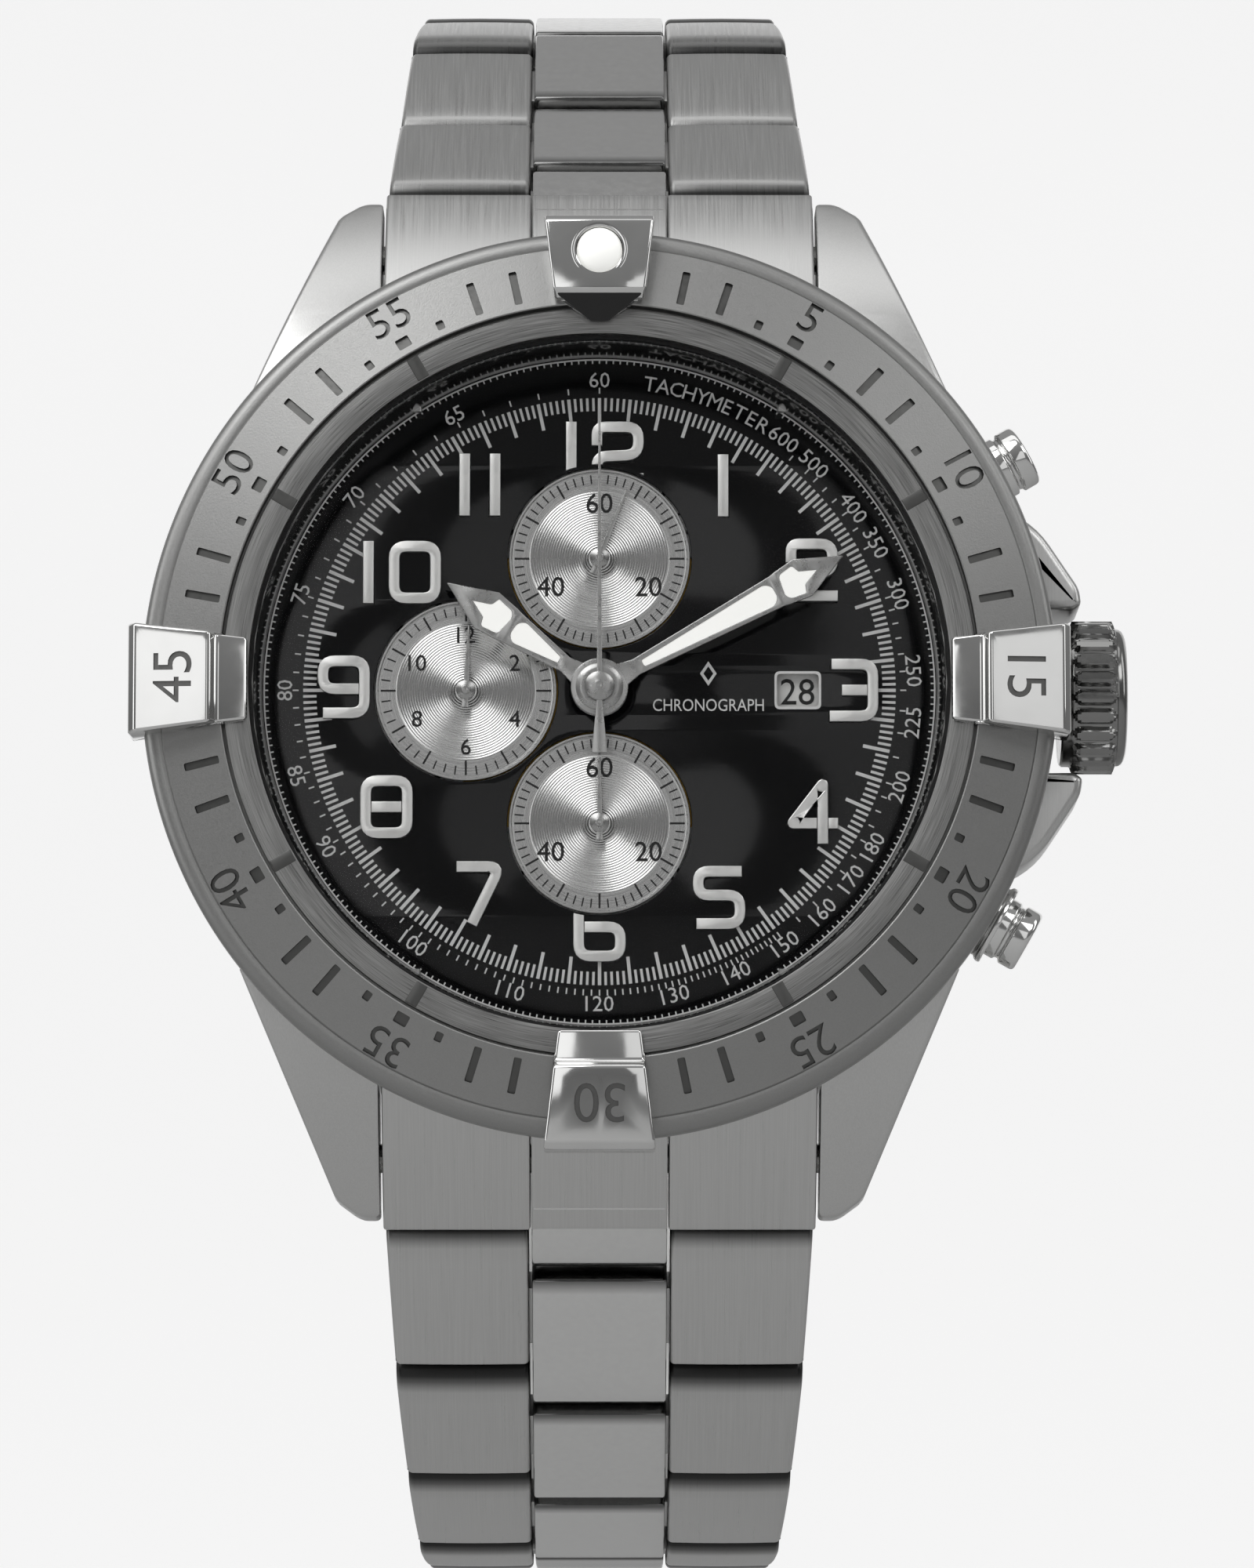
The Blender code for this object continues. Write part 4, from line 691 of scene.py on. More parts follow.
FINISHES = {
    "satin": satin_steel,
    "case": satin_case,
    "ring": ring_steel,
    "polished": polished_steel,
    "blasted": blasted_steel,
    "engraving": engraving_steel,
    "dial": black_lacquer,
    "lume": lume,
    "print": lambda colours: printing("white_ink", colours.print),
    "ink": lambda colours: printing("black_ink", colours.ink),
    "crystal": sapphire,
    "rubber": lambda _: speckled(
        "moulded_nitrile_rubber", "#161616", (0.6, 0.75), 0.15
    ),
    "brass": lambda _: speckled(
        "gilt_brass", "#C6A25A", (0.25, 0.4), 0.2, 1.0
    ),
    "copper": lambda _: speckled(
        "enamelled_copper_wire", "#A85A32", (0.25, 0.4), 0.1, 1.0, 0.01
    ),
    "board": lambda _: speckled(
        "circuit_board_solder_mask", "#0F4A22", (0.3, 0.45), 0.4
    ),
    "spring": lambda _: speckled(
        "drawn_spring_steel", "#9A9A98", (0.2, 0.35), 0.1, 1.0, 0.002
    ),
    "plastic": lambda _: speckled(
        "moulded_acetal", "#D8D8D2", (0.4, 0.55), 0.3
    ),
    "back": ring_back,
    "shade": lambda _: speckled_metal(
        "polished_steel_in_shade", linear("#3A3A3A"), (0.08, 0.14)
    ),
    # Crown colour set darker than the polished steel: painted shade for the crown sitting in the
    # bezel's shadow.
    "fluted": lambda _: speckled_metal("fluted_crown_steel_in_shade", linear("#8A8A89"), (0.12, 0.2)),
    # The centre rows carry painted shade at their rolled starts.
    "centre": lambda colours: speckled_metal(
        "polished_centre_row", colours.polished, (0.14, 0.22), True
    ),
    "datewhite": lambda _: speckled("printed_date_disc", "#E8E8E6", (0.45, 0.6), 0.2),
    "silver12": lambda colours: silvered(colours, COUNTERS["12"]),
    "silver9": lambda colours: silvered(colours, COUNTERS["9"]),
    "silver6": lambda colours: silvered(colours, COUNTERS["6"]),
    "paper": paper,
    "applied": lambda colours: speckled_metal(
        "satin_rhodium_numerals", colours.applied, (0.3, 0.42)
    ),
    "rehaut": lambda colours: speckled_metal("polished_rehaut", colours.rehaut, (0.1, 0.18)),
    # Rider cuts darker than the polished rider: painted shade inside the engraved figures and the
    # pearl's well.
    "recess": lambda colours: speckled_metal("etched_recess_in_shade", colours.recess, (0.3, 0.4)),
    "hands": lambda colours: speckled_metal("satin_rhodium_hands", colours.hands, (0.24, 0.34)),
}
MADE = {}


def material(key):
    """The finish of that name, made once."""
    if key not in MADE:
        MADE[key] = FINISHES[key](bpy.context.scene.watch_colours)
    return MADE[key]


# ---------------------------------------------------------------- case

PLAN = [
    (CASE_RADIUS * math.cos(a), CASE_RADIUS * math.sin(a))
    for a in np.linspace(math.radians(12.0), math.radians(22.9), 8)
] + [(13.4, 25.3), (12.15, LUG_REACH)]


def plan_width(y):
    """Half width of the case at a distance y from its middle, from the plan of one quarter."""
    plan = np.array(PLAN)
    return np.interp(y, plan[:, 1], plan[:, 0])


def lug_height(y):
    """Top of the lugs: flat to the curve's start, then h = top - k (y - start)^2."""
    return CASE_TOP - LUG_CURVE * np.maximum(0.0, y - LUG_START) ** 2


def lug_foot(y):
    """Underside of the lugs: straight runs that start a hair below the case's flat bottom."""
    return np.interp(y, [17.8, 19.6, LUG_REACH], [CASE_BOTTOM - 0.015, 0.9, -0.73])


def barrel():
    """Case middle without its lugs: a (radius, height) loop turned, held in by the lug walls.

    The radius is min(r, wall / |sin a|), so the barrel is flat facing the end links, and its
    vertical edges are softened by the profile itself.
    """
    a = np.linspace(0, FULL_TURN, 360, endpoint=False)[:, None]
    reach = np.minimum(1.0, LUG_WALL / CASE_RADIUS / np.maximum(np.abs(np.sin(a)), 1e-6))
    skirt = np.array([
        (CASE_RADIUS - 0.45, CASE_BOTTOM), (CASE_RADIUS - 0.18, CASE_BOTTOM + 0.06),
        (CASE_RADIUS - 0.04, CASE_BOTTOM + 0.22), (CASE_RADIUS, CASE_BOTTOM + 0.45),
        (CASE_RADIUS, CASE_TOP - 0.35), (CASE_RADIUS - 0.05, CASE_TOP - 0.14),
        (CASE_RADIUS - 0.16, CASE_TOP - 0.03), (CASE_RADIUS - 0.35, CASE_TOP),
    ])
    inside = np.array([
        (18.5, CASE_TOP), (18.5, 11.15), (18.45, 11.2), (17.85, 11.2), (17.8, 11.15),
        (17.8, 7.5), (16.5, 7.45), (16.5, CASE_BOTTOM),
    ])
    radius = np.concatenate([skirt[:, 0] * reach, np.broadcast_to(inside[:, 0], (360, 8))], 1)
    height = np.broadcast_to(np.concatenate([skirt[:, 1], inside[:, 1]]), radius.shape)
    return loft(np.stack([radius * np.cos(a), radius * np.sin(a), height], -1), True)


def lug(side, end):
    """One lug, lofted along y: a rounded rectangle from the strap wall to the plan's edge."""
    y = np.concatenate([
        np.linspace(14.2, 19.4, 5), np.linspace(19.8, LUG_REACH - 0.25, 24),
        LUG_REACH - 0.25 + 0.25 * np.sin(np.linspace(0.3, math.pi / 2, 4)),
    ])
    shrink = np.concatenate([np.zeros(29), 0.25 * (1 - np.cos(np.linspace(0.3, math.pi / 2, 4)))])
    low_x = np.where(y < LUG_WALL, 9.0, STRAP_HALF + 0.15)
    sections = []
    for place, inner, less in zip(y, low_x, shrink):
        outer = plan_width(place) - less
        top, foot = lug_height(place) - less, lug_foot(place) + less
        corners = [(inner + less, foot), (outer, foot), (outer, top), (inner + less, top)]
        radii = np.array([0.15, 0.35, 0.3, 0.12])
        outline = fillet(corners, radii, 4)
        sections.append(np.stack([
            outline[:, 0] * side, np.full(len(outline), place * end), outline[:, 1]
        ], -1))
    return loft(np.array(sections))


def guard(end):
    """One crown guard: its plan carried up through the case's height with rounded edges."""
    corners = [(19.5, 4.15), (24.0, 4.15), (24.4, 4.45), (24.3, 5.25), (22.1, 8.55), (19.5, 9.75)]
    outline = fillet(corners, [0.1, 0.3, 0.2, 0.6, 1.6, 0.1], 5)
    points, faces = bar(outline, 2.4, 8.0, 0.45, 0.0, 5)
    return np.stack([points[:, 1], points[:, 2] * end, points[:, 0]], -1), faces


def collar(clock_angle):
    """Stepped tube that guides a pusher: a (radius, distance) loop turned about its axis."""
    loop = fillet([
        (0.7, 19.0), (2.1, 19.0), (2.1, 22.55), (1.92, 22.7), (1.92, 22.95), (2.1, 23.1),
        (2.1, 23.4), (0.7, 23.4),
    ], [0, 0, 0.1, 0.05, 0.05, 0.1, 0.12, 0.05], 3)
    return radial(revolve(loop, 64), clock_angle)


def build_case():
    """Barrel, four lugs, two crown guards and two pusher collars as one brushed solid."""
    lugs = [lug(side, end) for side in (-1, 1) for end in (-1, 1)]
    guards = [guard(end) for end in (-1, 1)]
    return piece(
        "case_shell", {"case": [barrel(), *lugs, *guards], "polished": [collar(60), collar(120)]},
        "case", "case", ["case_middle"], 28,
    )


def build_case_back():
    """Screwed back whose rim dips at six key notches; its plain face is turned in fine rings."""
    a = np.linspace(0, FULL_TURN, 720, endpoint=False)[:, None]
    near = np.abs((a - math.radians(30) + math.radians(30)) % math.radians(60) - math.radians(30))
    notch = (17.2 * np.sin(near) < 1.2).astype(float)
    radius = np.array([16.2, 16.2, 17.55, 17.8, 17.8, 17.4, 17.0, 16.5, 16.45, 14.0, 13.7, 0.02])
    height = np.array([2.4, 0.9, 0.9, 0.75, 0.4, 0.0, 0.0, 0.0, 0.0, 0.0, 0.18, 0.18])
    deep = np.array([0, 0, 0, 0, 0.05, 0.45, 0.45, 0.45, 0, 0, 0, 0])
    z = height + deep * notch
    loop = np.stack([radius * np.cos(a), radius * np.sin(a), z], -1)
    back = loft(loop[:, ::-1], True)
    return piece("case_back_turned", [back], "case", "back", ["case_back"], 28)


# ---------------------------------------------------------------- bezel


def slope_mark(shape, minute, radius):
    """A flat shape centred on the bezel's slope at a minute and radius, cutting a shallow floor."""
    top, foot = np.array(SLOPE_TOP), np.array(SLOPE_FOOT)
    share = (radius - top[0]) / (foot[0] - top[0])
    return at_clock(shape, minute * 6.0, SLOPE_TOP, SLOPE_FOOT, share)


def slot(half_width, low, high, depth, rise=0.4):
    """Rectangular cutter from low to high along y, its ends and corners rounded."""
    corners = [(-half_width, low), (half_width, low), (half_width, high), (-half_width, high)]
    return plate([fillet(corners, 0.08, 2)], -depth, rise)


def bezel_marks():
    """Every recess of the sloped face: bars, short pips, square pips and five-minute numerals."""
    depth = 0.16
    cutters = []
    for minute in range(60):
        quarter = min(minute % 15, 15 - minute % 15)
        if minute % 5 == 0:
            if quarter:
                cutters.append(slope_mark(slot(0.36, -0.3, 0.3, depth), minute, 19.72))
                number = lettering(str(minute), 1.62, -depth, 0.4, None, 4)
                cutters.append(slope_mark(number, minute, 21.25))
        elif quarter == 1:
            continue
        elif minute % 5 in (2, 3):
            cutters.append(slope_mark(slot(0.2, -0.92, 0.92, depth), minute, 20.34))
        else:
            cutters.append(slope_mark(slot(0.2, -0.25, 0.25, depth), minute, 19.68))
    return cutters


def build_bezel_ring():
    """The turning ring: a sloped face, a groove, a rounded outer lip, engraved all round."""
    lip = circle(0.7, 10, (22.3, 10.62), math.radians(84), math.radians(2), False)
    profile = np.concatenate([
        [(19.06, 12.17), (19.12, 12.19), (22.06, 11.41), (22.14, 11.3), (22.24, 11.32)],
        lip + (0, -0.02),
        [(23.0, 9.55), (22.9, 9.25), (22.45, 8.83), (22.35, 8.8), (18.65, 8.8), (18.65, 11.25),
         (19.05, 11.25), (19.05, 12.12)],
    ])
    ring_piece = piece(
        "bezel_face", [revolve(profile, 360)], "bezel", "blasted",
        ["bezel_ring"], 25,
    )
    # The cuts take the engraving finish, whose darker colour is painted shade.
    return engraved(ring_piece, bezel_marks(), "engraving")


def rider_section(v_tip):
    """(radius, height) loop of a rider; the one at 12 has no lower plateau."""
    base = [
        (17.6, 12.0), (18.9, 12.0), (18.9, 12.3), (19.2, 12.3), (22.35, 11.45), (23.1, 11.0),
        (23.1, 9.45), (23.55, 9.4), (23.6, 12.15), (23.27, 12.75),
    ]
    if v_tip:
        return base[3:] + [(19.72, 13.08), (19.6, 13.0), (19.2, 12.6)]
    return base + [(19.6, 13.08), (19.45, 13.0), (19.25, 12.55), (19.1, 12.45), (17.68, 12.45)]


def rider_body(v_tip):
    """A rider's section carried across it, wider outwards as r tan of its half angle."""
    radii = np.full(len(rider_section(v_tip)), 0.12)
    loop = fillet(rider_section(v_tip), radii, 3)
    if area(loop) < 0:
        loop = loop[::-1]
    half = loop[:, 0] * RIDER_TAN - 0.02
    return bar(loop, -half, half, 0.16, 0.0, 4)


def area(loop):
    """Signed area of a closed outline, positive when it runs anticlockwise."""
    on = np.roll(loop, -1, 0)
    return 0.5 * float((loop[:, 0] * on[:, 1] - on[:, 0] * loop[:, 1]).sum())


def build_riders():
    """Four riders: engraved 15, 30 and 45, and the one at 12 with its pearl and V-shaped tip."""
    made = []
    for minute, text in ((15, "15"), (30, "30"), (45, "45")):
        node = f"bezel_rider_{minute // 5}"
        body = turned(rider_body(False), minute * 6.0)
        rider = piece(
            node + "_face", [body], "bezel", "polished", [node], 30
        )
        number = at_clock(lettering(text, 1.95, -0.14, 0.4, None, 5), minute * 6.0, FACE_TOP,
                          FACE_FOOT, 0.47)
        # The cut figures take the darker recess finish: painted shade.
        made.append(engraved(rider, [number], "recess"))
    outline = np.array([(-2.2, 0.0), (-2.12, -0.35), (-0.45, -1.72), (0.45, -1.72), (2.12, -0.35),
                        (2.2, 0.0)])
    tip = plate([fillet(outline, 0.12, 3)], -0.35, 0.0, 0.07)
    tip = placed(tip, (0, 19.72, 12.98), (1, 0, 0), (0, 0.93, 0.37), (0, -0.37, 0.93))
    corners = [(-2.1, 19.3), (-0.4, 18.2), (0.4, 18.2), (2.1, 19.3)]
    foot = plate([fillet(corners, 0.1, 2)], 12.0, 12.3)
    rider = piece(
        "bezel_rider_12_face", [rider_body(True)], "bezel", "polished",
        ["bezel_rider_12"], 30,
    )
    made.append(piece("bezel_rider_12_tip", {"shade": [tip], "polished": [foot]}, "bezel",
                      "shade", (), 30))
    well = plate([circle(1.2, 48, (0, 21.7))], 12.3, 14.0)
    made.append(engraved(rider, [well], "recess"))
    dome = [(0.0, 13.4)] + [
        (1.14 * math.sin(a), 12.66 + 0.74 * math.cos(a)) for a in np.linspace(0.2, 1.5, 9)
    ] + [(1.15, 12.4), (0.0, 12.4)]
    points, faces = revolve([(max(r, 0.001), z) for r, z in dome], 48)
    cup = revolve([(1.19, 12.4), (1.19, 12.95), (1.3, 13.0), (1.42, 12.98), (1.42, 12.4)], 48)
    shift = np.array([0, 21.7, 0])
    made.append(piece(
        "luminous_pearl", {"lume": [(points + shift, faces)],
                           "polished": [(cup[0] + shift, cup[1])]},
        "bezel", "lume", ["lume_pip"], 40,
    ))
    return made


def build_inner_ring():
    """Lathe-brushed ring under the bezel, with eight polished inserts at the plain hours."""
    loop = fillet(
        [(17.6, 11.35), (18.9, 11.35), (18.9, 11.9), (17.6, 11.9)], [0.02, 0.02, 0.06, 0.06], 2
    )
    hours = [h for h in range(12) if h % 3]
    inserts = [turned(plate([fillet([(-0.32, 17.66), (0.32, 17.66), (0.32, 18.86),
                                     (-0.32, 18.86)], 0.05, 2)], 11.6, 11.94, 0.03), h * 30)
               for h in hours]
    # The inserts take the engraving finish, whose darker colour is painted shade.
    return piece(
        "bezel_inner_band", {"ring": [revolve(loop, 360)], "engraving": inserts},
        "bezel", "ring", ["bezel_inner_ring"], 30,
    )


# ---------------------------------------------------------------- crystal and dial


def build_crystal():
    """Flat sapphire disc with a polished chamfer."""
    profile = [(0.001, 12.0), (17.0, 12.0), (17.1, 11.98), (17.35, 11.75), (17.35, 10.75),
               (0.001, 10.75)]
    return piece("crystal_disc", [revolve(profile, 256)], "case", "crystal",
                 ["crystal"], 20)


def build_rehaut():
    """Polished wall between crystal and dial: a cone from its foot to the crystal."""
    profile = fillet(
        [(17.0, 8.1), (17.7, 8.1), (17.7, 10.6), (17.4, 10.6)], [0.01, 0.02, 0.02, 0.05], 2
    )
    return piece("rehaut", [revolve(profile, 256)], "case", "rehaut",
                 ["dial_ring"], 30)


def build_dial():
    """Black dial plate: real holes for the counters, the hands and the bevelled date window."""
    window = fillet([(8.9, -0.9), (11.14, -0.9), (11.14, 0.9), (8.9, 0.9)], 0.25, 5)
    holes = [circle(1.2, 48), window]
    holes += [circle(4.66, 160, place) for place in COUNTERS.values()]
    return piece("dial_plate", [plate([circle(17.14, 256), *holes], 7.6, DIAL_TOP, 0.03)],
                 "case", "dial", ["dial"], 25)


def build_dial_print():
    """Seconds track in fifths, tachymeter scale and its small ticks, all in pale ink."""
    low, high = DIAL_TOP, DIAL_TOP + 0.025
    fifths = np.arange(300)
    inner = np.where(fifths % 5 == 0, np.where(fifths % 25 == 0, 13.45, 13.6), 14.3)
    shapes = [ticks(fifths * 1.2, inner, 14.97, np.where(fifths % 5 == 0, 0.17, 0.13), low, high)]
    shapes.append(plate([circle(16.98, 256), circle(16.9, 256)], low, high))
    shapes.append(ticks(fifths * 1.2, 16.74, 16.9, 0.07, low, high))
    speeds = np.concatenate([
        np.arange(60, 151, 1), np.arange(155, 201, 5), np.arange(210, 301, 10),
        np.arange(325, 501, 25), [550],
    ])
    shapes.append(ticks(21600 / speeds, 15.2, 15.5, 0.075, low, high))
    for speed in (600, 500, 400, 350, 300, 250, 225, 200, 180, 170, 160, 150, 140, 130, 120,
                  110, 100, 90, 85, 80, 75, 70, 65, 60):
        angle = 21600 / speed % 360
        figure = lettering(str(speed), 0.78, low, high, None, 2)
        if 92 < angle < 262:
            figure = placed(figure, (0, 0, 0), (-1, 0, 0), (0, -1, 0), (0, 0, 1))
        figure = placed(figure, (0, 15.9, 0), (1, 0, 0), (0, 1, 0), (0, 0, 1))
        shapes.append(turned(figure, angle))
    for index, letter in enumerate("TACHYMETER"):
        figure = lettering(letter, 0.74, low, high, None, 2)
        figure = placed(figure, (0, 15.9, 0), (1, 0, 0), (0, 1, 0), (0, 0, 1))
        shapes.append(turned(figure, 9.3 + 2.47 * index))
    shapes.append(placed(lettering("CHRONOGRAPH", 0.62, low, high, 5.6, 3), (5.5, -0.75, 0),
                         (1, 0, 0), (0, 1, 0), (0, 0, 1)))
    lozenge = np.array([(0, 0.62), (0.42, 0), (0, -0.62), (-0.42, 0)]) + (5.5, 0.85)
    hollow = (lozenge - (5.5, 0.85)) * 0.6 + (5.5, 0.85)
    shapes.append(plate([lozenge, hollow], low, high + 0.05))
    frame_in = fillet([(8.96, -0.84), (11.08, -0.84), (11.08, 0.84), (8.96, 0.84)], 0.22, 5)
    frame_out = fillet([(8.84, -0.97), (11.2, -0.97), (11.2, 0.97), (8.84, 0.97)], 0.3, 5)
    shapes.append(plate([frame_out, frame_in], low, high + 0.03))
    return piece("dial_print", shapes, "case", "print", (), 30)


DIGIT_W, DIGIT_H = 2.1, 2.65


def digit(char):
    """Centre-line path of a squared digit in a box, whether it closes, and its corner radii."""
    w, h = DIGIT_W / 2, DIGIT_H / 2
    return {
        "0": [([(-w, -h), (w, -h), (w, h), (-w, h)], True)],
        "1": [([(0, -h - 0.27), (0, h + 0.27)], False)],
        "2": [([(-w, h * 0.28), (-w, h), (w, h), (w, -0.1), (-w, -0.2), (-w, -h), (w + 0.27, -h)],
               False)],
        "3": [([(-w, h), (w, h), (w, -h), (-w - 0.1, -h)], False),
              ([(-w * 0.5, 0), (w - 0.28, 0)], False)],
        "4": [([(w * 0.45, -h - 0.27), (w * 0.45, h + 0.1), (-w, -h * 0.42),
                (w * 0.45 - 0.28, -h * 0.42)],
               False), ([(w * 0.45 + 0.28, -h * 0.42), (w + 0.2, -h * 0.42)], False)],
        "5": [([(w + 0.1, h), (-w, h), (-w, 0.12), (w, 0.12), (w, -h), (-w - 0.1, -h)], False)],
        "6": [([(w, h), (-w, h), (-w, -h), (w, -h), (w, 0.15), (-w + 0.28, 0.15)], False)],
        "7": [([(-w - 0.1, h), (w, h), (-w * 0.35, -h - 0.27)], False)],
        "8": [([(-w, -h), (w, -h), (w, h), (-w, h)], True),
              ([(-w + 0.28, 0), (w - 0.28, 0)], False)],
        "9": [([(-w, -h), (w, -h), (w, h), (-w, h), (-w, -0.1), (w - 0.28, -0.1)], False)],
    }[char]


def numeral(text, place, low=DIAL_TOP, high=DIAL_TOP + 0.32):
    """Applied hour numeral: rounded strokes of metal, standing on the dial."""
    shapes = []
    advance = 1.54 if text == "11" else DIGIT_W + 0.95
    start = -(len(text) - 1) * advance / 2
    if text in ("10", "12"):
        start, advance = -1.55, 2.35
    for index, char in enumerate(text):
        for path, closed in digit(char):
            outlines = stroke(path, 0.55, 0.62 if char != "4" else 0.08, closed)
            shift = (place[0] + start + index * advance, place[1])
            shapes.append(plate([line + shift for line in outlines], low, high, 0.04))
    return shapes


def build_numerals():
    """Twelve applied numerals; those at 12 and 6 are cut short by the counters."""
    places = {
        "1": (6.26, 10.44), "2": (10.74, 6.12), "3": (12.76, -0.02), "4": (10.78, -6.24),
        "5": (6.02, -10.56), "7": (-6.06, -10.32), "8": (-10.74, -5.96), "9": (-12.92, 0.14),
        "10": (-10.14, 6.0), "11": (-6.06, 10.48), "12": (0.12, 12.12), "6": (0.0, -12.2),
    }
    made, shapes = [], []
    for text, place in places.items():
        if text in ("12", "6"):
            whole = piece(f"numeral_{text}", numeral(text, place), "case", "applied")
            well = plate([circle(4.78, 96, COUNTERS[text])], 7.9, 8.6)
            made.append(engraved(whole, [well], "applied"))
        else:
            shapes += numeral(text, place)
    made.append(piece("applied_numerals", shapes, "case", "applied"))
    return made


def build_counters():
    """Silvered counters: grooves as a zigzag of (radius, height), a smooth track and a rim."""
    made = []
    groove = np.arange(0.5, 4.4, 0.0625)
    depth = np.where(groove < 3.45, 0.022, 0.012)
    height = np.where(np.arange(len(groove)) % 2, COUNTER_TOP - depth, COUNTER_TOP)
    profile = np.concatenate([
        [(0.45, 7.62), (0.45, COUNTER_TOP)], np.stack([groove, height], -1),
        [(4.42, COUNTER_TOP), (4.46, 7.9), (4.56, 7.9), (4.58, 7.86), (4.58, 7.62)],
    ])
    for key, place in COUNTERS.items():
        made.append(piece(
            f"counter_{key}", [revolve(profile, 180, place)], "case", "silver" + key,
            [f"subdial_{key}"], 25,
        ))
        low, high = COUNTER_TOP, COUNTER_TOP + 0.02
        count = 48 if key == "9" else 60
        index = np.arange(count)
        long = index % (4 if key == "9" else 5) == 0
        inner = np.where(long, 3.55, 3.85)
        width = np.where(long, 0.1, 0.07)
        shapes = [ticks(index * 360 / count, inner, 4.3, width, low, high, place)]
        texts = [(60, 0), (20, 120), (40, 240)]
        if key == "9":
            texts = [(n, n * 30) for n in (2, 4, 6, 8, 10, 12)]
        for number, angle in texts:
            size, radius = (0.82, 2.85) if key == "9" else (1.0, 2.85)
            a = math.radians(angle)
            at = (place[0] + radius * math.sin(a), place[1] + radius * math.cos(a), 0)
            figure = lettering(str(number), size, low, high, None, 3)
            shapes.append(placed(figure, at, (1, 0, 0), (0, 1, 0), (0, 0, 1)))
        made.append(piece(f"counter_{key}_print", shapes, "case", "ink", (), 30))
    return made


def build_date():
    """Thirty-one dates printed round the white disc, the one in the window standing upright."""
    shapes = []
    for day in range(1, 32):
        figure = lettering(str(day), 1.32, 7.45, 7.475, 1.7 if day > 9 else None, 3)
        figure = placed(figure, (10.02, 0, 0), (1, 0, 0), (0, 1, 0), (0, 0, 1))
        shapes.append(turned(figure, (day - 28) * 360 / 31))
    return piece("date_numbers", shapes, "date_disc", "ink", (), 30)


# ---------------------------------------------------------------- hands


def mirrored(points):
    """An outline's right side followed by its own mirror image, top to bottom."""
    points = np.asarray(points, float)
    return np.concatenate([points, points[::-1] * (-1, 1)])


def sword(length, half, low):
    """Frame and two luminous fields of an hour or minute hand that points to 12."""
    shoulder = length - 2.2 * half
    neck = shoulder - 1.4 * half
    hub = circle(1.45, 22, (0, 0), math.radians(-90), math.radians(66), False)
    right = np.concatenate([hub, [(0.42, 2.1), (0.8 * half, neck), (0.86 * half, neck + 0.3),
                                  (half, shoulder), (0.02, length)]])
    outline = mirrored(right)
    inner = fillet(mirrored([(0.16, 2.5), (0.56 * half, neck - 0.45), (0.3 * half, neck - 0.12)]),
                   [0.08, 0.2, 0.3, 0.3, 0.2, 0.08], 4)
    outer = fillet(
        mirrored([(0.36 * half, neck + 0.28), (0.62 * half, neck + 0.45),
                  (0.74 * half, shoulder - 0.2), (0.34 * half, shoulder - 0.05),
                  (0.0, shoulder + 0.75 * half)])[:-1],
        [0.2, 0.15, 0.06, 0.12, 0.02, 0.12, 0.06, 0.15, 0.2], 4,
    )
    metal = plate([outline, inner, outer, circle(0.7, 32)], low, low + 0.2, 0.035)
    fields = [plate([inner], low + 0.02, low + 0.17), plate([outer], low + 0.02, low + 0.17)]
    return metal, fields


def needle(length, tail, half, hub, low, thick, tail_half):
    """A tapered needle through a round hub, its tail widening to a counterweight."""
    arc = math.degrees(math.asin(half / hub))
    top = circle(hub, 10, (0, 0), math.radians(-75), math.radians(90 - arc), False)
    right = np.concatenate([
        [(0.001, -tail), (tail_half, -tail), (half * 1.1, -hub * 0.98)], top[1:],
        [(0.35 * half, length), (0.001, length)],
    ])
    return plate([mirrored(right)[::-1]], low, low + thick, 0.02)


def stack(rings_, bore=0.001):
    """Turned hub from (radius, height) corners, lowest first, round a bore for the inner arbor."""
    return revolve(fillet([(bore, rings_[0][1]), *rings_, (bore, rings_[-1][1])], 0.03, 2), 48)


def build_hands():
    """Hour, minute and chronograph hands and the three small ones, each on its own arbor."""
    made = []
    for name, length, half, low, pipe, bore in (
        ("hour_hand", 9.35, 1.1, 8.75, 1.0, 0.66), ("minute_hand", 13.96, 1.05, 9.2, 0.6, 0.3),
    ):
        metal, fields = sword(length, half, low)
        top = low + 0.32
        hub = stack(
            [(pipe, 6.6), (pipe, low), (1.2, low + 0.02), (1.2, low + 0.24), (0.95, top)], bore
        )
        angle = HAND_ANGLES[name.split("_")[0]]
        finishes = {"hands": [turned(metal, angle), hub],
                    "lume": [turned(field, angle) for field in fields]}
        made.append(piece(name + "_finished", finishes, name, "hands",
                          [name], 30))
    shapes = [needle(14.6, 3.4, 0.13, 0.75, 9.65, 0.12, 0.4)]
    shapes.append(stack([(0.25, 6.6), (0.25, 9.6), (0.74, 9.65), (0.74, 9.8), (0.5, 9.86),
                         (0.3, 9.9), (0.22, 9.92)]))
    made.append(piece("chrono_needle", shapes, "chrono_hand", "hands",
                      ["chrono_hand"], 30))
    for key, (x, y) in COUNTERS.items():
        length = 3.75 if key == "12" else 3.3
        pin = stack([(0.25, 6.6), (0.25, 8.2), (0.49, 8.26), (0.49, 8.38), (0.26, 8.44),
                     (0.2, 8.49)])
        blade = turned(needle(length, 0.9, 0.13, 0.5, 8.25, 0.1, 0.2), HAND_ANGLES[key])
        shapes = [(shape[0] + (x, y, 0), shape[1]) for shape in (blade, pin)]
        made.append(piece(f"counter_{key}_needle", shapes, f"subhand_{key}", "hands",
                          [f"subhand_{key}"], 30))
    return made


# ---------------------------------------------------------------- crown and push buttons


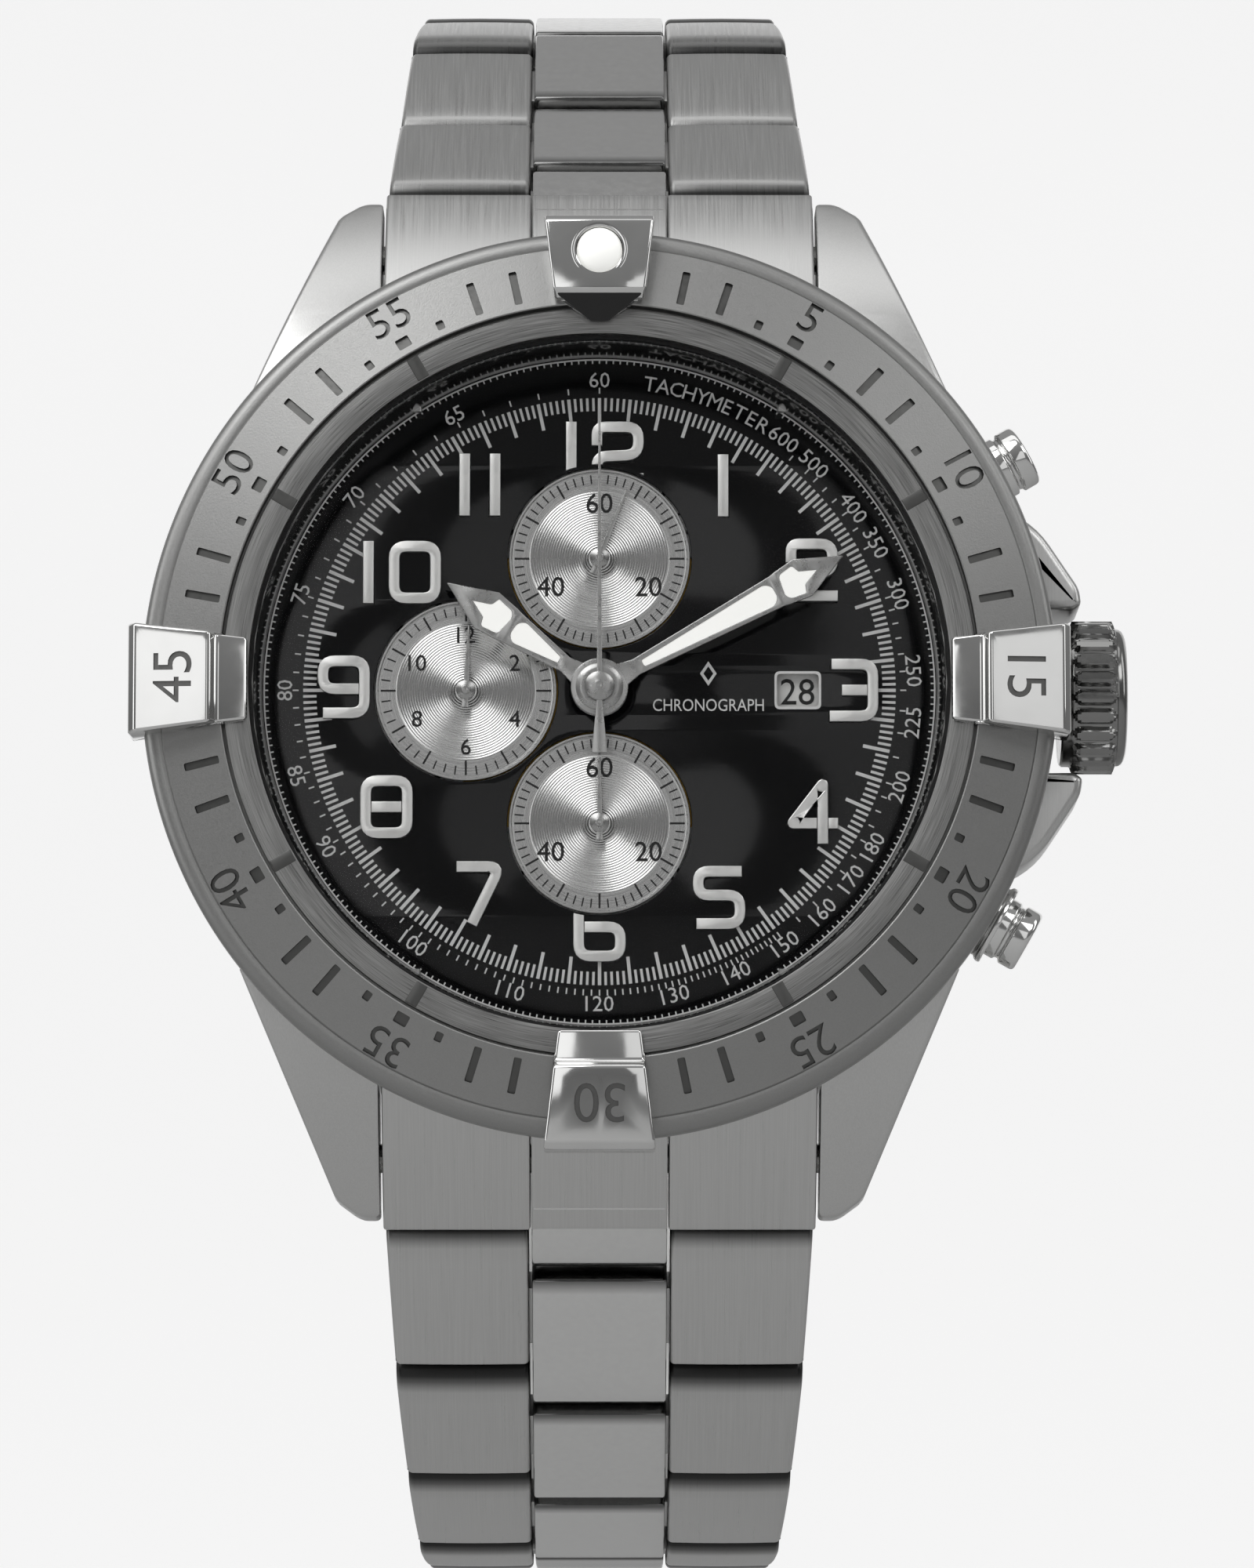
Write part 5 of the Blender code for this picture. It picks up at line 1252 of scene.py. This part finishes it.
def build_crown():
    """Fluted crown turned about its axis: the radius is core + rib height x window(distance).

    Across each of the 24 ribs the height is a clipped ramp from the rib's middle, and towards
    both ends the ramp narrows, which gives every rib its pointed end.
    """
    distance = np.array([23.35, 23.35, 23.45, 23.8, 23.9, 24.0, 24.12, 24.3, 25.75, 25.93, 26.05,
                         26.15, 26.2, 26.35, 26.5, 26.62, 26.69, 26.7, 26.7])
    core = np.array([0.76, 3.42, 3.52, 3.52, 3.58, 3.58, 3.58, 3.58, 3.58, 3.58, 3.58, 3.58, 3.5,
                     3.48, 3.4, 3.22, 3.0, 2.8, 0.001])
    window = np.array([0, 0, 0, 0, 0, 0.16, 0.3, 0.42, 0.42, 0.3, 0.16, 0, 0, 0, 0, 0, 0, 0, 0])
    a = np.linspace(0, FULL_TURN, 480, endpoint=False)[:, None]
    across = np.abs((a * 24 / FULL_TURN) % 1.0 - 0.5)
    rib = np.clip((window - across) * 6.5, 0, 1)
    r = core + 0.31 * rib
    z = np.broadcast_to(distance, r.shape)
    body = loft(np.stack([r * np.cos(a), r * np.sin(a), z], -1), True)
    # The crown's finish carries painted shade in its darker steel colour.
    return piece("crown_fluted", [radial(body, 90)], "crown", "fluted",
                 ["crown"], 34)


def build_pushers():
    """Mushroom push buttons: a domed cap, a groove and a rod, turned about the radial axis."""
    made = []
    for name, angle in (("pusher_2", 60), ("pusher_4", 120)):
        loop = fillet([
            (0.001, 17.2), (0.6, 17.2), (0.6, 22.9), (1.6, 22.9), (1.6, 23.85), (1.45, 23.95),
            (1.45, 24.1), (1.62, 24.2), (1.62, 25.1), (0.001, 25.1),
        ], [0, 0.05, 0.02, 0.05, 0.06, 0.04, 0.04, 0.06, 0.28, 0], 4)
        made.append(piece(name + "_cap", [radial(revolve(loop, 96), angle)], name, "polished",
                          [name], 30))
    return made


# ---------------------------------------------------------------- bracelet

LINK_ANGLES = {
    "12": (57.0, 52.5, 71.5, 88.0, 106.0, 125.0, 144.0, 162.0),
    "6": (43.5, 60.0, 72.0, 88.0, 105.0, 124.0, 143.0, 162.0),
}


def row_outline(start, end, start_round, end_round, dome=0.1):
    """Side view of a row: its top is 1.45 less dome times the squared distance from its middle.

    A round end is half a circle about the pin; a square end has small rounded corners.
    """
    half = LINK_HALF - 0.01
    y = np.linspace(start + (0.0 if start_round else 0.2), end - (0.0 if end_round else 0.2), 12)
    middle, reach = (y[0] + y[-1]) / 2, (y[-1] - y[0]) / 2
    rise = half - dome * ((y - middle) / reach) ** 2
    top = np.stack([y, rise], -1)[::-1]
    bottom = np.stack([y[[0, -1]], [-half, -half]], -1)
    ends = []
    for place, is_round, a0, a1 in ((end, end_round, -90, 90), (start, start_round, 90, 270)):
        if is_round:
            arc = circle(1.0, 15, (0, 0), math.radians(a0), math.radians(a1), False)[1:-1]
            squash = half - dome * (arc[:, 1] > 0)
            ends.append(np.stack([place + arc[:, 0] * half, arc[:, 1] * squash], -1))
        else:
            way = 1 if a0 < 0 else -1
            corner = circle(0.2, 6, (0, 0), 0, math.pi / 2, False)
            up = np.stack(
                [place + way * (corner[:, 0] - 0.2), corner[:, 1] - 0.2 + half - dome], -1
            )
            down = up * (1, -1) + (0, -dome)
            pair = [down[::-1], up] if way > 0 else [up[::-1], down]
            ends.append(np.concatenate(pair))
    return np.concatenate([bottom[:1] if start_round else bottom[:0],
                           bottom[1:] if end_round else bottom[:0], ends[0], top[1:-1], ends[1]])


def link_shapes(side, index):
    """Two brushed outer rows and one polished centre row of a link, in the head's own places."""
    last = index == 7
    short, far = LINK_SHORT, LINK_PITCH - LINK_SHORT
    outer = row_outline(0.0, LINK_PITCH if last else far, True, last, 0.12)
    centre = row_outline(short, far if last else LINK_PITCH, False, not last, 0.1)
    widths = LINK_WIDTHS[index], LINK_WIDTHS[index + 1]
    share = np.clip(outer[:, 0] / LINK_PITCH, -0.16, 1.16)
    edge = (widths[0] + (widths[1] - widths[0]) * share) / 2 - 0.01
    rows = [bar(outer, CENTRE_HALF + ROW_GAP, edge, 0.3, 0.05, 5, 3)]
    points, faces = rows[0]
    rows.append((points * (-1, 1, 1), faces))
    middle = bar(centre, -CENTRE_HALF, CENTRE_HALF, 0.14, 0.0, 3, 3)
    start, stop, reach = short + 1, far - 1, CENTRE_HALF + 1.5
    beam = bar(fillet([(start, -0.7), (stop, -0.7), (stop, 0.7), (start, 0.7)], 0.1, 2),
               -reach, reach, 0.05)
    where, *axes = link_axes(side, index)
    satin_rows = [placed(shape, where, *axes) for shape in rows]
    return {"satin": satin_rows + [placed(beam, where, *axes)],
            "centre": [placed(middle, where, *axes)]}


def link_axes(side, index):
    """Pin place and the two directions, along and outwards, of a link in the head's places."""
    angle, sign = math.radians(LINK_ANGLES[side][index]), 1 if side == "12" else -1
    x, y, z = np.array(JOINTS[f"link_{side}_{index + 1}_hinge"]["pos_m"]) / MM
    along = np.array([0, sign * math.cos(angle), -math.sin(angle)])
    out = np.array([0, sign * math.sin(angle), math.cos(angle)])
    return np.array([x, z, -y]), np.array([sign, 0, 0]), along, out


def shade_gaps(obj, where, along, starts):
    """Write the painted-shade attribute: 1 at a row's rolled start, easing to 0 as 1 - t^2 (3 -
    2t).

    t is the distance past the start over one millimetre; the centre row starts further on.
    """
    points = np.zeros(len(obj.data.vertices) * 3)
    obj.data.vertices.foreach_get("co", points)
    points = points.reshape(-1, 3) / MM
    head = np.stack([points[:, 0], points[:, 2], -points[:, 1]], -1) - where
    begin = np.where(np.abs(head[:, 0]) < CENTRE_HALF + 0.07, starts[1], starts[0])
    t = np.clip((head @ along - begin) / 1.1, 0, 1)
    gap_shade = (1 - t * t * (3 - 2 * t)) * 0.97
    obj.data.attributes.new("gap_shade", "FLOAT", "POINT").data.foreach_set("value", gap_shade)


def build_links():
    """Sixteen links, eight down each side, every one riding on its own hinge."""
    made = []
    for side in ("12", "6"):
        for index in range(8):
            name = f"link_{side}_{index + 1}"
            made.append(piece(name + "_finished", link_shapes(side, index), name, "satin",
                              [name], 32))
            where, _, along, _ = link_axes(side, index)
            # Painted shade: each link darkens towards its rolled starts, in the hinge gaps.
            shade_gaps(made[-1], where, along, (-1.25, LINK_SHORT - 0.25))
    return made


def build_end_links():
    """End pieces between the lugs: two brushed shoulders, a centre and the nose for the pin."""
    made = []
    slope = math.atan(2 * LUG_CURVE * (26.87 - LUG_START))
    y = np.linspace(19.9, 26.87, 14)
    top = np.stack([y, lug_height(y)], -1)
    foot = (26.87 - 2.9 * math.sin(slope), 1.4 - 2.9 * math.cos(slope))
    outline = np.concatenate([[(19.9, 1.2), foot], top[::-1]])
    radii = np.array([0.1, 0.25, 0.22] + [0.0] * 12 + [0.1])
    outline = fillet(outline, radii, 4)
    keep = np.linalg.norm(np.roll(outline, -1, 0) - outline, axis=1) > 1e-5
    outline = outline[keep]
    for side, sign in (("12", 1), ("6", -1)):
        axes = ((sign, 0, 0), (0, sign, 0), (0, 0, 1))
        shoulder = bar(outline, CENTRE_HALF + 0.06, STRAP_HALF, 0.16, 0.0, 4)
        other = (shoulder[0] * (-1, 1, 1), shoulder[1])
        centre = bar(outline, -CENTRE_HALF, CENTRE_HALF, 0.08, 0.0, 3)
        _, h, z = np.array(JOINTS[f"link_{side}_1_hinge"]["pos_m"]) / MM
        nose = bar(row_outline(-3.6, 0.0, True, True, 0.03), -CENTRE_HALF, CENTRE_HALF, 0.12, 0, 3)
        nose = placed(nose, (0, z, -h), (sign, 0, 0),
                      (0, sign * math.cos(slope), -math.sin(slope)),
                      (0, sign * math.sin(slope), math.cos(slope)))
        shapes = {"satin": [placed(shape, (0, 0, 0), *axes) for shape in (shoulder, other, centre)],
                  "centre": [nose]}
        made.append(piece(f"end_piece_{side}", shapes, "case", "satin",
                          [f"end_link_{side}"], 30))
    return made


def build_clasp():
    """Clasp cover, its two folding blades and its two buttons, with broken edges."""
    made = [softened("clasp_cover", "satin", 0.15, "clasp_cover_finished")]
    for node in ("clasp_blade_1", "clasp_blade_2"):
        made.append(softened(node, "polished", 0.08, node + "_finished"))
    for node in ("clasp_button_right", "clasp_button_left"):
        made.append(softened(node, "polished", 0.1, node + "_finished"))
    return made


# ---------------------------------------------------------------- kept solids and stage

KEPT = {
    "date_disc": "datewhite", "movement_ring": "plastic", "main_plate": "brass",
    "train_bridge": "brass", "circuit_board": "board", "battery": "spring",
    "motor_coil": "copper", "spring_bar_12": "spring", "spring_bar_6": "spring",
    "winding_stem": "spring", "bezel_click_spring": "spring", "case_back_gasket": "rubber",
    "crystal_gasket": "rubber",
}


def finish_kept():
    """Give the CAD solids that stay their own finishes."""
    for node, key in KEPT.items():
        source = frame["nodes"][node]
        source.data.materials.clear()
        source.data.materials.append(material(key))


def area_light(name, place, target, size, power):
    """Soft rectangular lamp at a place, facing a target, in metres and watts."""
    lamp = bpy.data.lights.new(name, "AREA")
    lamp.shape, lamp.size, lamp.size_y, lamp.energy = "RECTANGLE", size[0], size[1], power
    holder = bpy.data.objects.new(name, lamp)
    bpy.context.scene.collection.objects.link(holder)
    holder.location = place
    aim = Vector(target) - Vector(place)
    holder.rotation_euler = aim.to_track_quat("-Z", "Y").to_euler()
    return holder


def build_stage(settings):
    """Pale sweep, soft lamps, even room light and the camera."""
    scene = bpy.context.scene
    floor, half_depth, half_width, curve, height = settings.floor_height, 3.4, 3.6, 0.8, 2.6
    t = np.linspace(0, math.pi / 2, 16)
    bend = half_depth - curve + curve * np.sin(t), floor + curve * (1 - np.cos(t))
    profile = np.concatenate([[(-half_depth, floor)], np.stack(bend, -1), [(half_depth, height)]])
    x = np.array([-half_width, half_width])
    m = len(profile)
    points = np.stack(
        [np.tile(x, m), np.repeat(profile[:, 0], 2), np.repeat(profile[:, 1], 2)], -1
    )
    i = np.arange(m - 1)[:, None] * 2
    mesh = bpy.data.meshes.new("sweep")
    mesh.from_pydata(points.tolist(), [], (i + np.array([0, 1, 3, 2])).tolist())
    mesh.materials.append(material("paper"))
    mesh.shade_smooth()
    sweep = bpy.data.objects.new("sweep", mesh)
    scene.collection.objects.link(sweep)

    world = bpy.data.worlds.new("room")
    world.use_nodes = True
    tree = world.node_tree
    place = add_node(tree, "ShaderNodeSeparateXYZ",
                     Vector=tree.nodes.new("ShaderNodeTexCoord").outputs["Generated"]).outputs
    rise = add_node(tree, "ShaderNodeMapRange", _0=place[2], _1=-0.6, _2=0.8, _3=0.0, _4=1.0)
    ramp = add_node(tree, "ShaderNodeValToRGB", _0=rise.outputs[0])
    ramp.color_ramp.elements[0].color = (0.08, 0.08, 0.08, 1)
    ramp.color_ramp.elements[1].color = (0.8, 0.8, 0.8, 1)
    tree.links.new(ramp.outputs[0], tree.nodes["Background"].inputs[0])
    tree.nodes["Background"].inputs[1].default_value = settings.room_light
    scene.world = world

    area_light("key", (-0.3, -0.42, 0.5), (0, 0, 0), (0.5, 0.4), settings.key_power)
    area_light("front_left", (-0.2, -0.7, 0.08), (0, 0, 0), (0.22, 0.3), settings.key_power * 0.1)
    area_light("front_right", (0.2, -0.7, 0.08), (0, 0, 0), (0.22, 0.3), settings.key_power * 0.065)
    area_light("top", (0.0, -0.12, 0.6), (0, 0, 0), (0.6, 0.25), settings.key_power * 0.22)
    area_light("side", (0.6, -0.1, 0.3), (0, 0, 0), (0.2, 0.6), settings.key_power * 0.3)
    area_light("right", (0.4, -0.5, 0.42), (0, 0, 0), (0.3, 0.3), settings.key_power * 0.3)
    area_light("left", (-0.6, -0.1, 0.15), (0, 0, 0), (0.3, 0.7), settings.key_power * 0.5)

    lens = bpy.data.cameras.new("camera")
    lens.lens, lens.sensor_width, lens.sensor_fit = 190.9, 36.0, "AUTO"
    camera = bpy.data.objects.new("camera", lens)
    scene.collection.objects.link(camera)
    tilt = math.radians(8.0)
    middle = np.array([0, -0.008, 0])
    back_way = np.array([0, -math.cos(tilt), -math.sin(tilt)])
    up = np.array([0, -math.sin(tilt), math.cos(tilt)])
    aim = middle + 0.00139 * np.array([1, 0, 0]) - 0.00473 * up
    stand = middle + 0.42 * back_way
    axis = unit(stand - aim)
    right = unit(np.cross(up, axis))
    turn = Matrix(np.stack([right, np.cross(axis, right), axis], -1).tolist())
    camera.matrix_world = Matrix.Translation(stand) @ turn.to_4x4()
    scene.camera = camera
    scene.view_settings.view_transform = "Standard"


# ---------------------------------------------------------------- add-on


class WatchColours(bpy.types.PropertyGroup):
    """Colours of the watch's finishes."""


def colour_property(name, code, description):
    """A colour setting whose default is an sRGB hex code."""
    return FloatVectorProperty(
        name=name, description=description, subtype="COLOR", size=3, min=0.0, max=1.0,
        default=linear(code)[:3],
    )


WatchColours.__annotations__ = {
    "satin": colour_property("Brushed steel", "#C4C4C3", "Bracelet and case"),
    "ring": colour_property("Lathe-brushed ring", "#8C8C8B", "Ring inside the bezel"),
    "polished": colour_property("Polished steel", "#D8D8D7", "Riders, pushers and crown"),
    "blasted": colour_property("Blasted steel", "#959594", "Sloped face of the bezel"),
    # Engraving colour darker than the blasted face: painted shade inside the bezel's cuts, also on
    # the inner ring's inserts.
    "engraving": colour_property("Engraving", "#5E5E5D", "Cut marks of the bezel"),
    # Rider engraving colour is painted shade inside the cut figures.
    "recess": colour_property("Rider engraving", "#6E6E6D", "Cut figures of the riders"),
    "dial": colour_property("Dial", "#070708", "Dial lacquer"),
    "silver": colour_property("Counters", "#CFCFCE", "Silvered counters"),
    "lume": colour_property("Luminous paint", "#F8F8F4", "Fields of the hands and the pearl"),
    "print": colour_property("Pale ink", "#DCDCDB", "Tracks and scale of the dial"),
    "applied": colour_property("Numerals", "#E6E6E4", "Applied hour numerals"),
    "hands": colour_property("Hands", "#B0B0AF", "Frames of the hands"),
    "rehaut": colour_property("Rehaut", "#8E8E8D", "Wall between dial and crystal"),
    "ink": colour_property("Black ink", "#101011", "Counter figures and dates"),
    "crystal": colour_property("Crystal edge", "#1A1C1E", "Tone of the crystal's veil"),
    "paper": colour_property("Sweep", "#F2F2F2", "Pale floor and backdrop"),
}


class WatchSettings(bpy.types.PropertyGroup):
    """Stage settings of the watch."""

    floor_height: FloatProperty(
        name="Floor height", description="Height of the sweep's floor", default=-0.125,
        unit="LENGTH",
    )
    room_light: FloatProperty(
        name="Room light", description="Strength of the even room light", default=0.42, min=0.0,
    )
    key_power: FloatProperty(
        name="Key lamp", description="Power of the key lamp", default=2.2, min=0.0, unit="POWER",
    )


STEPS = [
    ("case", "Case", "Build the case shell and its back", (build_case, build_case_back)),
    ("bezel", "Bezel", "Build the bezel ring, its riders and its inner band",
     (build_bezel_ring, build_riders, build_inner_ring)),
    ("dial", "Dial", "Build crystal, rehaut, dial, counters and date",
     (build_crystal, build_rehaut, build_dial, build_dial_print, build_numerals, build_counters,
      build_date)),
    ("hands", "Hands", "Build the six hands", (build_hands,)),
    ("buttons", "Crown and buttons", "Build the crown and the two pushers",
     (build_crown, build_pushers)),
    ("bracelet", "Bracelet", "Build the end pieces, links and clasp",
     (build_end_links, build_links, build_clasp)),
    ("inside", "Inner parts", "Give the kept solids their finishes", (finish_kept,)),
]


def operator_class(key, label, description, makers):
    """An operator that runs the makers of one group of pieces."""

    def execute(self, context):
        for maker in makers:
            maker()
        return {"FINISHED"}

    return type(f"WATCH_OT_{key}", (bpy.types.Operator,), {
        "bl_idname": f"watch.{key}", "bl_label": label, "__doc__": description,
        "execute": execute,
    })


OPERATORS = [operator_class(*step) for step in STEPS]


class WATCH_OT_stage(bpy.types.Operator):
    """Build the sweep, the lamps and the camera."""

    bl_idname = "watch.stage"
    bl_label = "Stage"

    def execute(self, context):
        build_stage(context.scene.watch_settings)
        return {"FINISHED"}


class WATCH_PT_panel(bpy.types.Panel):
    """Sidebar panel with the watch's settings and steps."""

    bl_label = "Watch"
    bl_idname = "WATCH_PT_panel"
    bl_space_type = "VIEW_3D"
    bl_region_type = "UI"
    bl_category = "Watch"

    def draw(self, context):
        layout = self.layout
        for group in (context.scene.watch_colours, context.scene.watch_settings):
            for key in group.__annotations__:
                layout.prop(group, key)
        for operator in (*OPERATORS, WATCH_OT_stage):
            layout.operator(operator.bl_idname)


CLASSES = (WatchColours, WatchSettings, *OPERATORS, WATCH_OT_stage, WATCH_PT_panel)


def register():
    """Register the classes and hang the settings on the scene."""
    for entry in CLASSES:
        bpy.utils.register_class(entry)
    bpy.types.Scene.watch_colours = PointerProperty(type=WatchColours)
    bpy.types.Scene.watch_settings = PointerProperty(type=WatchSettings)


def unregister():
    """Take the settings and classes away again."""
    del bpy.types.Scene.watch_colours, bpy.types.Scene.watch_settings
    for entry in reversed(CLASSES):
        bpy.utils.unregister_class(entry)


def main():
    """Register, run every step in order and build the stage."""
    register()
    for key, *_ in STEPS:
        getattr(bpy.ops.watch, key)()
    bpy.ops.watch.stage()


if __name__ == "__main__":
    main()
